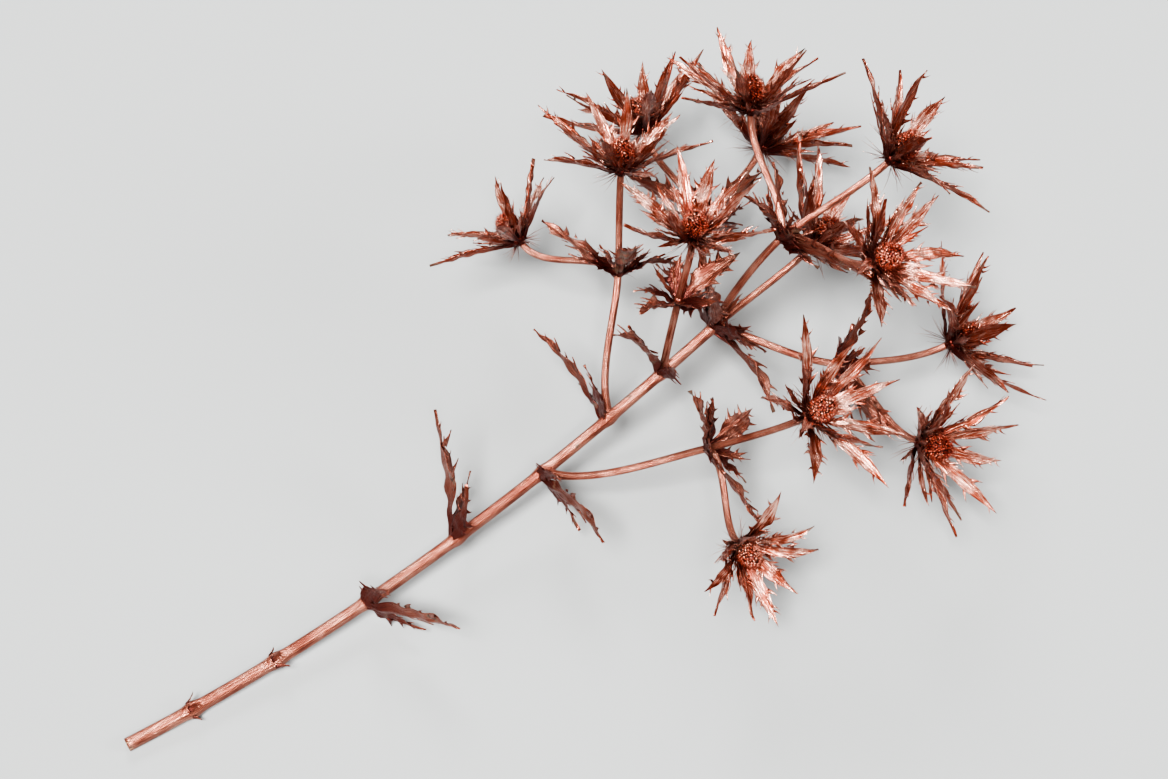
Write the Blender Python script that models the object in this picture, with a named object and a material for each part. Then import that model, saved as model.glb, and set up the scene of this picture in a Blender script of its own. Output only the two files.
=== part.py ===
"""Sea holly stem: one cut flowering stem, dried and painted copper, lying on a surface.

Run with: blender --background --python part.py
Metres, +Z up, +Y from the cut end towards the flower heads. The origin is on the surface,
under the centre of the stem's bounding box.
"""

import math
import random
from typing import NamedTuple

import bmesh
import bpy
from mathutils import Matrix, Vector
from mathutils.bvhtree import BVHTree

# Driving dimensions
GAP = 0.0003
BLADE_CLEARANCE = 0.0008
FLAT_SPOT_DEPTH = 0.0004
CUT_END_RADIUS = 0.0036
WHORL_RADIUS = 0.0029
BRANCH_RADIUS = 0.0021
STALK_RADIUS = 0.0019
KNUCKLE_SWELL = 1.32
LEAVING_ANGLE = 1.05
BRACT_LENGTH = 0.053
BRACT_WIDTH = 0.0082
BRACT_SPINE = 0.0029
LEAF_LENGTH = 0.054
LEAF_WIDTH = 0.0145
LOBE_REACH = 0.020
RIB_DEPTH = 0.0011
BRISTLE_LENGTH = 0.012
BRISTLE_RADIUS = 0.0005
BRISTLES_PER_HEAD = 4
CONE_RADIUS = 0.0062
CONE_HEIGHT = 0.0160
FLORET_HEIGHT = 0.0012
CUP_RADIUS = 0.0056
CUP_HEIGHT = 0.0042

# The main stem, and where the part's own origin lies on the surface
FOOTPRINT_CENTRE = Vector((0.0040, -0.0448, 0.0))
CUT_END = Vector((-0.030, -0.300, CUT_END_RADIUS - FLAT_SPOT_DEPTH))
CUT_END_HEADING = Vector((0.20, 0.98, 0.05))
WHORL = Vector((0.0, 0.060, 0.058))
WHORL_HEADING = Vector((0.02, 0.95, 0.30))
STRIPPED_NODES_AT = (0.10, 0.23)
STEM_LEAVES = ((0.38, Vector((0.9, 0.0, 0.45)), 1.15), (0.53, Vector((-0.8, 0.0, 0.6)), 1.25))


class HeadSite(NamedTuple):
    """Where a flower head sits: its foot, the way it faces and its size against a full head."""

    name: str
    foot: Vector
    facing: Vector
    size: float
    bracts: int
    openness: float


class Branch(NamedTuple):
    """A side branch: where along the main stem it leaves, its fork and the heads above it."""

    name: str
    leaves_at: float
    fork: Vector
    fork_leaves: int
    heads: tuple


TERMINAL_HEAD = HeadSite("terminal", Vector((0.005, 0.119, 0.078)), Vector((0.10, 0.80, 0.59)), 1.0, 12, 1.0)
BRANCHES = (
    Branch(
        "left_branch",
        1.0,
        Vector((-0.053, 0.099, 0.056)),
        3,
        (
            HeadSite("left_front", Vector((-0.070, 0.154, 0.046)), Vector((-0.32, 0.90, 0.30)), 1.0, 12, 1.0),
            HeadSite("left_side", Vector((-0.109, 0.106, 0.064)), Vector((-0.82, 0.30, 0.49)), 0.95, 12, 1.0),
        ),
    ),
    Branch(
        "right_branch",
        1.0,
        Vector((0.056, 0.094, 0.055)),
        3,
        (
            HeadSite("right_front", Vector((0.081, 0.149, 0.045)), Vector((0.34, 0.90, 0.28)), 1.0, 12, 1.05),
            HeadSite("right_side", Vector((0.117, 0.092, 0.062)), Vector((0.86, 0.22, 0.46)), 0.92, 11, 0.95),
        ),
    ),
    Branch(
        "upper_branch",
        1.0,
        Vector((0.004, 0.098, 0.110)),
        4,
        (
            HeadSite("upper_front", Vector((0.014, 0.158, 0.131)), Vector((0.12, 0.84, 0.53)), 1.0, 12, 0.95),
            HeadSite("upper_left", Vector((-0.047, 0.120, 0.141)), Vector((-0.46, 0.42, 0.78)), 0.92, 11, 1.0),
            HeadSite("upper_right", Vector((0.057, 0.106, 0.145)), Vector((0.50, 0.32, 0.80)), 0.9, 11, 0.95),
        ),
    ),
    Branch(
        "low_left_branch",
        0.80,
        Vector((-0.053, 0.039, 0.066)),
        3,
        (
            HeadSite("low_left_front", Vector((-0.080, 0.063, 0.103)), Vector((-0.40, 0.40, 0.82)), 0.9, 11, 0.95),
            HeadSite("low_left_side", Vector((-0.101, 0.014, 0.060)), Vector((-0.88, -0.06, 0.47)), 0.8, 10, 0.9),
        ),
    ),
    Branch(
        "low_right_branch",
        0.68,
        Vector((0.052, 0.010, 0.060)),
        3,
        (
            HeadSite("low_right_front", Vector((0.082, 0.045, 0.095)), Vector((0.42, 0.42, 0.80)), 0.9, 11, 1.0),
            HeadSite("low_right_side", Vector((0.099, -0.012, 0.055)), Vector((0.88, -0.16, 0.45)), 0.76, 10, 0.9),
        ),
    ),
    Branch(
        "middle_branch",
        0.90,
        Vector((-0.008, 0.040, 0.096)),
        2,
        (HeadSite("middle", Vector((-0.014, 0.053, 0.131)), Vector((-0.14, 0.20, 0.97)), 0.86, 11, 1.0),),
    ),
)
RESTING_HEADS = ("left_front", "right_front")


class Blade(NamedTuple):
    """A stiff spiny blade on a curved midrib. Its outlines are (place, out, foot) points.

    The place is a share of the length, out is the distance from the midrib, and the foot
    is the midrib station that the outline point is seen from."""

    root: Vector
    along: Vector
    face: Vector
    length: float
    bend: float
    twist: float
    fold: float
    curl: float
    rib: float
    stations: tuple
    outlines: tuple


def midrib(blade, place):
    """Point on the midrib, and the across and face directions there."""
    angle = blade.bend * place
    if abs(blade.bend) < 1e-4:
        point = blade.root + blade.along * (blade.length * place)
    else:
        reach = blade.length / blade.bend
        point = blade.root + reach * (math.sin(angle) * blade.along + (1 - math.cos(angle)) * blade.face)
    forward = math.cos(angle) * blade.along + math.sin(angle) * blade.face
    face = math.cos(angle) * blade.face - math.sin(angle) * blade.along
    turn = Matrix.Rotation(blade.twist * place, 3, forward)
    return point, turn @ forward.cross(face), turn @ face


def blade_point(blade, place, out, side, lift=0.0):
    """A point beside the midrib: out along the folded and curled half, lifted off the face."""
    point, across, face = midrib(blade, place)
    half = math.cos(blade.fold) * side * across + math.sin(blade.fold) * face
    return point + out * half + (lift + blade.curl * out * out) * face


def blade_solid(blade, grow=0.0):
    """Closed lens of a blade: a channelled face, a keel behind it and one shared outline."""
    corners = []
    rib_face = []
    rib_keel = []
    for place in blade.stations:
        rib_face.append(len(corners))
        corners.append(blade_point(blade, place, 0.0, 1, grow))
        rib_keel.append(len(corners))
        corners.append(blade_point(blade, place, 0.0, 1, -blade.rib * (1 - 0.4 * place) - grow))
    tip = len(corners)
    corners.append(blade_point(blade, 1 + grow / blade.length, 0.0, 1, -0.3 * blade.rib))
    rib_face.append(tip)
    rib_keel.append(tip)
    faces = []
    roots = []
    for side, outline in zip((1, -1), blade.outlines):
        edge = []
        for place, out, _ in outline:
            edge.append(len(corners))
            corners.append(blade_point(blade, place, out + grow, side))
        edge.append(tip)
        roots.append(edge[0])
        feet = [foot for _, _, foot in outline] + [len(blade.stations)]
        faces.extend(blade_half(rib_face, edge, feet, side))
        faces.extend(blade_half(rib_keel, edge, feet, -side))
    faces.append((rib_face[0], roots[1], rib_keel[0]))
    faces.append((rib_face[0], rib_keel[0], roots[0]))
    return corners, faces


def blade_half(ribs, edge, feet, turn):
    """Triangles between the midrib and one edge, fanned from each edge point's foot."""
    faces = []
    for j in range(len(edge) - 1):
        faces.append((ribs[feet[j]], edge[j], edge[j + 1]))
        for i in range(feet[j], feet[j + 1]):
            faces.append((ribs[i], edge[j + 1], ribs[i + 1]))
    whole = [face for face in faces if len(set(face)) == 3]
    return whole if turn > 0 else [face[::-1] for face in whole]


def lance(place):
    """Half width of a lance shape against its whole width: narrow root, drawn out tip."""
    return 0.5 * (1 - place) ** 0.7 * (0.33 + 2.9 * place**1.2)


BRACT_STATIONS = (0.0, 0.22, 0.50)
INNER_BRACT_STATIONS = (0.0, 0.33)


def bract_outline(draw, width, spine, is_inner):
    """One edge of a bract: slender spines that lean forward from its lance shape."""
    outline = [(0.0, width * lance(0.0), 0)]
    for foot, middle in ((1, 0.50),) if is_inner else ((1, 0.38), (2, 0.65)):
        place = middle + draw.uniform(-0.02, 0.03)
        reach = spine * draw.uniform(0.75, 1.2) * (1.2 - 0.5 * place)
        outline.append((place - 0.13, width * lance(place - 0.13), foot))
        outline.append((place, width * lance(place) + reach, foot))
        outline.append((place - 0.05, width * lance(place - 0.05), foot))
    return tuple(outline)


LEAF_STATIONS = (0.0, 0.10, 0.28, 0.52)


def leaf_outline(draw, width, lobe):
    """One edge of a three-lobed leaf: a spiny side lobe, then the middle lobe's spines."""
    lobe = lobe * draw.uniform(0.8, 1.15)
    shift = draw.uniform(-0.02, 0.03)
    return (
        (0.0, 0.16 * width, 0),
        (0.07, 0.32 * lobe, 0),
        (0.17 + shift, 0.76 * lobe, 1),
        (0.20, 0.55 * lobe, 1),
        (0.44 + shift, lobe, 1),
        (0.31, 0.42 * lobe, 1),
        (0.27, 0.26 * width, 1),
        (0.42, 0.46 * width, 2),
        (0.57 + shift, 0.78 * width, 2),
        (0.54, 0.44 * width, 3),
        (0.66, 0.37 * width, 3),
        (0.80 + shift, 0.58 * width, 3),
        (0.77, 0.26 * width, 3),
    )


def spike_solid(root, along, length, radius):
    """Three-sided needle."""
    side = along.orthogonal().normalized()
    other = along.cross(side)
    corners = [root + along * length]
    for turn in range(3):
        angle = 2 * math.pi * turn / 3
        corners.append(root + radius * (math.cos(angle) * side + math.sin(angle) * other))
    return corners, [(0, 1, 2), (0, 2, 3), (0, 3, 1), (3, 2, 1)]


class Axis(NamedTuple):
    """One stretch of stem: its points, headings and radii, root first."""

    points: list
    headings: list
    radii: list


def grown_axis(start, start_heading, end, end_heading, start_radius, end_radius, count):
    """Stem on a smooth curve that leaves and arrives in the given headings."""
    chord = (end - start).length
    leave = start_heading.normalized() * chord
    arrive = end_heading.normalized() * chord
    axis = Axis([], [], [])
    for step in range(count + 1):
        t = step / count
        axis.points.append(
            (2 * t**3 - 3 * t**2 + 1) * start
            + (t**3 - 2 * t**2 + t) * leave
            + (3 * t**2 - 2 * t**3) * end
            + (t**3 - t**2) * arrive
        )
        heading = (
            (6 * t**2 - 6 * t) * (start - end)
            + (3 * t**2 - 4 * t + 1) * leave
            + (3 * t**2 - 2 * t) * arrive
        )
        axis.headings.append(heading.normalized())
        axis.radii.append(start_radius + (end_radius - start_radius) * t)
    return axis


def along_axis(axis, share):
    """Point, heading and radius at a share of an axis's length."""
    place = share * (len(axis.points) - 1)
    low = min(int(place), len(axis.points) - 2)
    part = place - low
    point = axis.points[low].lerp(axis.points[low + 1], part)
    heading = axis.headings[low].lerp(axis.headings[low + 1], part).normalized()
    return point, heading, axis.radii[low] + part * (axis.radii[low + 1] - axis.radii[low])


def tube_solid(axis, sides, groove=0.0):
    """Closed stem with flat ends. Every second side line is sunk by the groove's share."""
    corners = []
    across = axis.headings[0].orthogonal().normalized()
    for point, heading, radius in zip(*axis):
        across = (across - across.dot(heading) * heading).normalized()
        other = heading.cross(across)
        for side in range(sides):
            angle = 2 * math.pi * side / sides
            reach = radius * (1 - groove * (side % 2))
            corners.append(point + reach * (math.cos(angle) * across + math.sin(angle) * other))
    faces = [tuple(range(sides - 1, -1, -1))]
    for low in range(0, len(corners) - sides, sides):
        for side in range(sides):
            after = (side + 1) % sides
            faces.append((low + side, low + after, low + sides + after, low + sides + side))
    faces.append(tuple(range(len(corners) - sides, len(corners))))
    return corners, faces


def turned_solid(foot, heading, profile, sides):
    """Closed turned shape from (radius, height) pairs, bottom to top."""
    points = [foot + heading * height for _, height in profile]
    return tube_solid(Axis(points, [heading] * len(profile), [radius for radius, _ in profile]), sides)


def knuckle_solid(centre, heading, radius):
    """Small faceted swelling where stems part."""
    profile = ((0.62, -0.8), (1.0, -0.25), (1.0, 0.25), (0.62, 0.8))
    return turned_solid(centre, heading, [(wide * radius, high * radius) for wide, high in profile], 8)


def cup_solid(site):
    """Cup under a head that its bracts grow from."""
    reach = CUP_RADIUS * (0.45 + 0.55 * site.size)
    profile = (
        (STALK_RADIUS, 0.0),
        (reach, 0.65 * CUP_HEIGHT),
        (0.95 * reach, CUP_HEIGHT),
    )
    return turned_solid(site.foot, site.facing.normalized(), profile, 8)


def cone_solid(site, columns=9, rows=6):
    """Egg-shaped cone of florets: a leaning grid of cells, each raised to a point."""
    facing = site.facing.normalized()
    first, second = around(facing)
    foot = site.foot + facing * (CUP_HEIGHT + GAP)
    radius = CONE_RADIUS * (0.4 + 0.6 * site.size)
    height = CONE_HEIGHT * (0.4 + 0.6 * site.size)

    def place(row, column, lift):
        level = row / rows
        belly = 0.65 + 0.35 * math.sin(0.5 * math.pi * min(1.0, 2.2 * level))
        dome = math.sqrt(1 - (max(0.0, level - 0.3) / 0.78) ** 2.3)
        angle = 2 * math.pi * (column + 0.5 * row) / columns
        outward = math.cos(angle) * first + math.sin(angle) * second
        return foot + facing * (0.93 * height * level + 0.6 * lift) + outward * (radius * belly * dome + lift)

    corners = [place(row, column, 0.0) for row in range(rows + 1) for column in range(columns)]
    faces = [tuple(range(columns - 1, -1, -1))]
    for row in range(rows):
        for column in range(columns):
            low = row * columns + column
            after = row * columns + (column + 1) % columns
            cell = (low, after, after + columns, low + columns)
            faces.extend((cell[k], cell[(k + 1) % 4], len(corners)) for k in range(4))
            corners.append(place(row + 0.5, column + 0.5, FLORET_HEIGHT * (1.0 if row else 0.35)))
    top = rows * columns
    faces.extend((top + k, top + (k + 1) % columns, len(corners)) for k in range(columns))
    corners.append(foot + facing * height)
    return corners, faces


class Thicket:
    """What has been placed so far, by node, so that a new blade can be bent clear of it."""

    def __init__(self):
        self.items = []

    def add(self, node, corners, faces):
        self.items.append((node, BVHTree.FromPolygons(corners, faces), *box_of(corners)))

    def clear(self, node, corners, faces):
        low, high = box_of(corners)
        if low[2] < BLADE_CLEARANCE:
            return False
        own = BVHTree.FromPolygons(corners, faces)
        for owner, tree, other_low, other_high in self.items:
            if owner == node:
                continue
            if any(low[axis] > other_high[axis] or high[axis] < other_low[axis] for axis in range(3)):
                continue
            if own.overlap(tree):
                return False
        return True


def box_of(corners):
    low = [min(corner[axis] for corner in corners) for axis in range(3)]
    high = [max(corner[axis] for corner in corners) for axis in range(3)]
    return low, high


def settled(thicket, node, make, draw, tries=80):
    """The first form of a blade that clears every other node, straying ever further, or None."""
    for attempt in range(tries):
        stray = attempt / tries
        blade = make(stray, draw, 1.0 - 0.5 * stray * stray)
        if thicket.clear(node, *blade_solid(blade, BLADE_CLEARANCE)):
            return blade
    return None


def around(facing):
    """Two directions square to an axis: the one nearest to up, and the one beside it."""
    up = Vector((0, 0, 1))
    first = (up - up.dot(facing) * facing).normalized()
    return first, facing.cross(first)


def square_to(direction, heading):
    """The part of a direction that is square to a heading, as a unit vector."""
    return (direction - direction.dot(heading) * heading).normalized()


def spread_blade(origin, facing, outward, spread, ring, **form):
    """A blade that leaves a ring round an axis, at an angle of spread from that axis."""
    along = math.cos(spread) * facing + math.sin(spread) * outward
    face = math.sin(spread) * facing - math.cos(spread) * outward
    return Blade(root=origin + ring * outward, along=along, face=face, **form)


def place_leaf(thicket, node, stem, outward, spread, scale):
    """One three-lobed leaf that clasps a stem, bent clear of the other nodes."""
    centre, heading, radius = stem
    draw = random.Random(f"{node} {scale} {outward.to_tuple(3)}")
    form = {
        "bend": draw.uniform(-0.7, 0.2),
        "twist": draw.uniform(-0.5, 0.5),
        "fold": draw.uniform(0.2, 0.5),
        "curl": draw.uniform(-14.0, 6.0),
        "rib": 1.15 * RIB_DEPTH,
        "stations": LEAF_STATIONS,
        "outlines": tuple(leaf_outline(draw, LEAF_WIDTH * scale, LOBE_REACH * scale) for _ in range(2)),
    }

    def make(stray, draw, keep):
        turned = Matrix.Rotation(draw.uniform(-0.9, 0.9) * stray, 3, heading) @ outward
        opened = spread + draw.uniform(-0.7, 0.6) * stray
        changed = {**form, "length": LEAF_LENGTH * scale * keep}
        changed["bend"] += draw.uniform(-0.7, 0.7) * stray
        return spread_blade(centre - heading * radius, heading, turned, opened, 0.4 * radius, **changed)

    blade = settled(thicket, node, make, draw)
    if blade:
        thicket.add(node, *blade_solid(blade))
    return blade


def bract_form(site, number, draw):
    """Azimuth, spread and shape of a head's bract before it is bent clear."""
    azimuth = math.pi + 2 * math.pi * (number + draw.uniform(-0.2, 0.2) * (number > 0)) / site.bracts
    is_inner = number % 2
    spread = (0.74 if is_inner else 1.12) * site.openness + draw.uniform(-0.12, 0.14)
    width = BRACT_WIDTH * (0.5 + 0.5 * site.size) * draw.uniform(0.88, 1.12)
    spine = BRACT_SPINE * site.size
    form = {
        "length": BRACT_LENGTH * site.size * (0.9 if is_inner else 1.0) * draw.uniform(0.9, 1.1),
        "bend": draw.uniform(-0.45, 0.4),
        "twist": draw.uniform(-0.8, 0.8),
        "fold": draw.uniform(0.25, 0.6),
        "curl": draw.uniform(-20.0, 10.0),
        "rib": RIB_DEPTH,
        "stations": INNER_BRACT_STATIONS if is_inner else BRACT_STATIONS,
        "outlines": tuple(bract_outline(draw, width, spine, is_inner) for _ in range(2)),
    }
    return azimuth, spread, form


def place_bracts(thicket, site):
    """The ruff of one head: every bract bent clear of what stands round it."""
    node = f"head_{site.name}_bracts"
    facing = site.facing.normalized()
    first, second = around(facing)
    origin = site.foot + facing * (0.5 * CUP_HEIGHT)
    ring = 0.72 * CUP_RADIUS * (0.45 + 0.55 * site.size)
    blades = []
    for number in range(site.bracts):
        draw = random.Random(f"{node} {number}")
        azimuth, spread, form = bract_form(site, number, draw)

        def make(stray, draw, keep):
            turned = azimuth + draw.uniform(-0.35, 0.35) * stray
            outward = math.cos(turned) * first + math.sin(turned) * second
            opened = max(0.62, min(1.8, spread + draw.uniform(-0.7, 0.8) * stray))
            changed = {**form, "length": form["length"] * keep}
            changed["bend"] += draw.uniform(-0.9, 0.9) * stray
            return spread_blade(origin, facing, outward, opened, ring, **changed)

        if number == 0 and site.name in RESTING_HEADS:
            blades.append(resting_bract(origin, facing, -first, ring, form))
        else:
            blades.append(settled(thicket, node, make, draw))
    blades = [blade for blade in blades if blade]
    for blade in blades:
        thicket.add(node, *blade_solid(blade))
    return blades


def resting_bract(origin, facing, downward, ring, form):
    """The lowest bract of a head that bears on the surface, opened until its tip meets it."""
    straight = {**form, "bend": 0.1, "twist": 0.0, "curl": 0.0}
    closed = 0.5
    opened = 1.9
    for _ in range(30):
        spread = 0.5 * (closed + opened)
        blade = spread_blade(origin, facing, downward, spread, ring, **straight)
        lowest = min(corner.z for corner in blade_solid(blade)[0])
        if lowest > -FLAT_SPOT_DEPTH:
            closed = spread
        else:
            opened = spread
    return blade


def place_bristles(thicket, site):
    """Fine spines round the foot of a head, as (root, direction, length)."""
    node = f"head_{site.name}_bracts"
    facing = site.facing.normalized()
    first, second = around(facing)
    draw = random.Random(f"{node} bristles")
    bristles = []
    for number in range(BRISTLES_PER_HEAD):
        azimuth = 2 * math.pi * (number + draw.uniform(0.2, 0.8)) / BRISTLES_PER_HEAD
        outward = math.cos(azimuth) * first + math.sin(azimuth) * second
        spread = draw.uniform(1.35, 2.2)
        along = math.cos(spread) * facing + math.sin(spread) * outward
        length = BRISTLE_LENGTH * site.size * draw.uniform(0.75, 1.2)
        root = site.foot + facing * (0.4 * CUP_HEIGHT) + outward * (0.4 * CUP_RADIUS)
        if thicket.clear(node, *spike_solid(root, along, length + BLADE_CLEARANCE, 2 * BRISTLE_RADIUS)):
            bristles.append((root, along, length))
    return bristles


def branch_axes(branch, main_axis):
    """The axes of a side branch: the branch itself, then the stalk of each head."""
    point, heading, radius = along_axis(main_axis, branch.leaves_at)
    outward = square_to(branch.fork - point, heading)
    leave = math.cos(LEAVING_ANGLE) * heading + math.sin(LEAVING_ANGLE) * outward
    start = point + leave * (KNUCKLE_SWELL * radius + GAP)
    arrive = ((branch.fork - start).normalized() + (branch.heads[0].foot - branch.fork).normalized()).normalized()
    axes = [grown_axis(start, leave, branch.fork, arrive, BRANCH_RADIUS, 0.95 * BRANCH_RADIUS, 5)]
    for site in branch.heads:
        axes.append(stalk_axis(branch.fork, arrive, site, STALK_RADIUS))
    return axes


def stalk_axis(start, onward, site, start_radius):
    """Stalk from a fork to just short of a head's foot."""
    facing = site.facing.normalized()
    end = site.foot - facing * GAP
    heading = ((end - start).normalized() + 0.5 * onward.normalized()).normalized()
    return grown_axis(start, heading, end, facing, start_radius, STALK_RADIUS, 4)


def fork_leaves(thicket, branch, axes):
    """Leaves round a fork, the first of them below its side stalk."""
    heading = axes[0].headings[-1]
    fork = (branch.fork, heading, BRANCH_RADIUS)
    outward = square_to(axes[-1].headings[2], heading)
    leaves = []
    for number in range(branch.fork_leaves):
        turned = Matrix.Rotation(2 * math.pi * number / branch.fork_leaves, 3, heading) @ outward
        leaves.append(place_leaf(thicket, branch.name, fork, turned, 1.05, 0.94 - 0.05 * number))
    return [leaf for leaf in leaves if leaf]


def main_stem_leaves(thicket, axis):
    """Leaves of the main stem: one below each side branch, and those further down."""
    leaves = []
    for branch in BRANCHES:
        stem = along_axis(axis, branch.leaves_at)
        outward = square_to(branch.fork - stem[0], stem[1])
        scale = 1.0 if branch.leaves_at == 1.0 else 1.1
        leaves.append(place_leaf(thicket, "main_stem", stem, outward, 1.35, scale))
    for share, direction, scale in STEM_LEAVES:
        stem = along_axis(axis, share)
        leaves.append(place_leaf(thicket, "main_stem", stem, square_to(direction, stem[1]), 1.0, scale))
    return [leaf for leaf in leaves if leaf]


def plan_stem():
    """Every axis, blade and bristle of the stem, bent clear of each other."""
    thicket = Thicket()
    main_axis = grown_axis(CUT_END, CUT_END_HEADING, WHORL, WHORL_HEADING, CUT_END_RADIUS, WHORL_RADIUS, 14)
    stems = {"main_stem": [main_axis, stalk_axis(WHORL, WHORL_HEADING, TERMINAL_HEAD, 1.1 * STALK_RADIUS)]}
    for branch in BRANCHES:
        stems[branch.name] = branch_axes(branch, main_axis)
    for node, axes in stems.items():
        for axis in axes:
            thicket.add(node, *tube_solid(axis, 6))
    sites = [TERMINAL_HEAD] + [site for branch in BRANCHES for site in branch.heads]
    for site in sites:
        thicket.add(f"head_{site.name}_cone", *cone_solid(site))
        thicket.add(f"head_{site.name}_bracts", *cup_solid(site))
    bracts = {}
    for site in sorted(sites, key=lambda one: one.name not in RESTING_HEADS):
        bracts[site.name] = place_bracts(thicket, site)
    leaves = {"main_stem": main_stem_leaves(thicket, main_axis)}
    for branch in BRANCHES:
        leaves[branch.name] = fork_leaves(thicket, branch, stems[branch.name])
    bristles = {site.name: place_bristles(thicket, site) for site in sites}
    return stems, leaves, sites, bracts, bristles


def paint(name, colour, roughness, metallic):
    material = bpy.data.materials.new(name)
    material.use_nodes = True
    shader = material.node_tree.nodes["Principled BSDF"]
    shader.inputs["Base Color"].default_value = (*colour, 1.0)
    shader.inputs["Roughness"].default_value = roughness
    shader.inputs["Metallic"].default_value = metallic
    return material


def solid_object(name, corners, faces, material=None):
    """A mesh object from corners and faces, moved to the part's own origin."""
    mesh = bpy.data.meshes.new(name)
    mesh.from_pydata([corner - FOOTPRINT_CENTRE for corner in corners], [], faces)
    if material:
        mesh.materials.append(material)
    made = bpy.data.objects.new(name, mesh)
    bpy.context.scene.collection.objects.link(made)
    return made


def fused(name, solids, material):
    """One closed body from overlapping solids, the first of which the others grow from."""
    body = solid_object(name, *solids[0], material)
    repeats = bpy.data.collections.new(f"{name}_repeats")
    for number, solid in enumerate(solids[1:]):
        piece = solid_object(f"{name}_repeat_{number}", *solid, material)
        bpy.context.scene.collection.objects.unlink(piece)
        repeats.objects.link(piece)
    union = body.modifiers.new("grown together", "BOOLEAN")
    union.operation = "UNION"
    union.operand_type = "COLLECTION"
    union.collection = repeats
    union.solver = "MANIFOLD"
    apply_modifiers(body)
    for piece in list(repeats.objects):
        bpy.data.objects.remove(piece)
    bpy.data.collections.remove(repeats)
    keep_largest_shell(body)
    return body


def keep_largest_shell(body):
    """Drops loose scraps and fills sealed hollows, which are shells of their own."""
    mesh = bmesh.new()
    mesh.from_mesh(body.data)
    shells = []
    unseen = set(mesh.verts)
    while unseen:
        shell = set()
        front = [unseen.pop()]
        while front:
            vertex = front.pop()
            shell.add(vertex)
            near = {edge.other_vert(vertex) for edge in vertex.link_edges} & unseen
            unseen -= near
            front.extend(near)
        shells.append(shell)
    shells.sort(key=len)
    for shell in shells[:-1]:
        bmesh.ops.delete(mesh, geom=list(shell), context="VERTS")
    mesh.to_mesh(body.data)
    mesh.free()


def apply_modifiers(body):
    graph = bpy.context.evaluated_depsgraph_get()
    result = bpy.data.meshes.new_from_object(body.evaluated_get(graph))
    body.modifiers.clear()
    body.data = result


def rest_flat(body):
    """Trims what dips under the surface, which leaves a small flat spot to rest on."""
    bpy.ops.mesh.primitive_cube_add(size=0.1, location=(body_low_point(body).x, body_low_point(body).y, -0.05))
    slab = bpy.context.object
    trim = body.modifiers.new("flat spot", "BOOLEAN")
    trim.operation = "DIFFERENCE"
    trim.object = slab
    trim.solver = "EXACT"
    apply_modifiers(body)
    bpy.data.objects.remove(slab)


def body_low_point(body):
    return min((vertex.co for vertex in body.data.vertices), key=lambda point: point.z)


def build_main_stem(axes, leaves, material):
    main_axis, terminal_stalk = axes
    solids = [tube_solid(main_axis, 10, groove=0.1), tube_solid(terminal_stalk, 6)]
    swellings = {branch.leaves_at for branch in BRANCHES}
    swellings.update(STRIPPED_NODES_AT, (share for share, _, _ in STEM_LEAVES))
    for share in sorted(swellings):
        point, heading, radius = along_axis(main_axis, share)
        solids.append(knuckle_solid(point, heading, radius * KNUCKLE_SWELL))
    solids.extend(blade_solid(leaf) for leaf in leaves)
    rest_flat(fused("main_stem", solids, material))


def build_branch(branch, axes, leaves, material):
    solids = [tube_solid(axis, 6) for axis in axes]
    solids.append(knuckle_solid(branch.fork, axes[0].headings[-1], 1.3 * BRANCH_RADIUS))
    solids.extend(blade_solid(leaf) for leaf in leaves)
    fused(branch.name, solids, material)


def build_head(site, bracts, bristles, bract_material, cone_material):
    solids = [cup_solid(site)]
    solids.extend(blade_solid(bract) for bract in bracts)
    solids.extend(spike_solid(*bristle, BRISTLE_RADIUS) for bristle in bristles)
    ruff = fused(f"head_{site.name}_bracts", solids, bract_material)
    if site.name in RESTING_HEADS:
        rest_flat(ruff)
    solid_object(f"head_{site.name}_cone", *cone_solid(site), cone_material)


def main():
    for leftover in list(bpy.data.objects):
        bpy.data.objects.remove(leftover)
    stems, leaves, sites, bracts, bristles = plan_stem()
    stem_paint = paint("copper_stem", (0.50, 0.24, 0.18), 0.42, 0.6)
    bract_paint = paint("copper_bracts", (0.58, 0.27, 0.20), 0.38, 0.75)
    cone_paint = paint("copper_florets", (0.45, 0.13, 0.06), 0.5, 0.5)
    build_main_stem(stems["main_stem"], leaves["main_stem"], stem_paint)
    for branch in BRANCHES:
        build_branch(branch, stems[branch.name], leaves[branch.name], stem_paint)
    for site in sites:
        build_head(site, bracts[site.name], bristles[site.name], bract_paint, cone_paint)


main()
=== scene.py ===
"""The looks of the sea holly stem: a dried flowering stem sprayed with copper paint.

The stem is planned here as its solids are, then every leaf, bract, floret, hair and stalk is
grown again in full detail. Metres, +Z up, +Y from the cut end towards the flower heads.
"""

import math
import random
from typing import NamedTuple

import bpy
import numpy as np
from mathutils import Matrix, Vector
from mathutils.bvhtree import BVHTree


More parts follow.
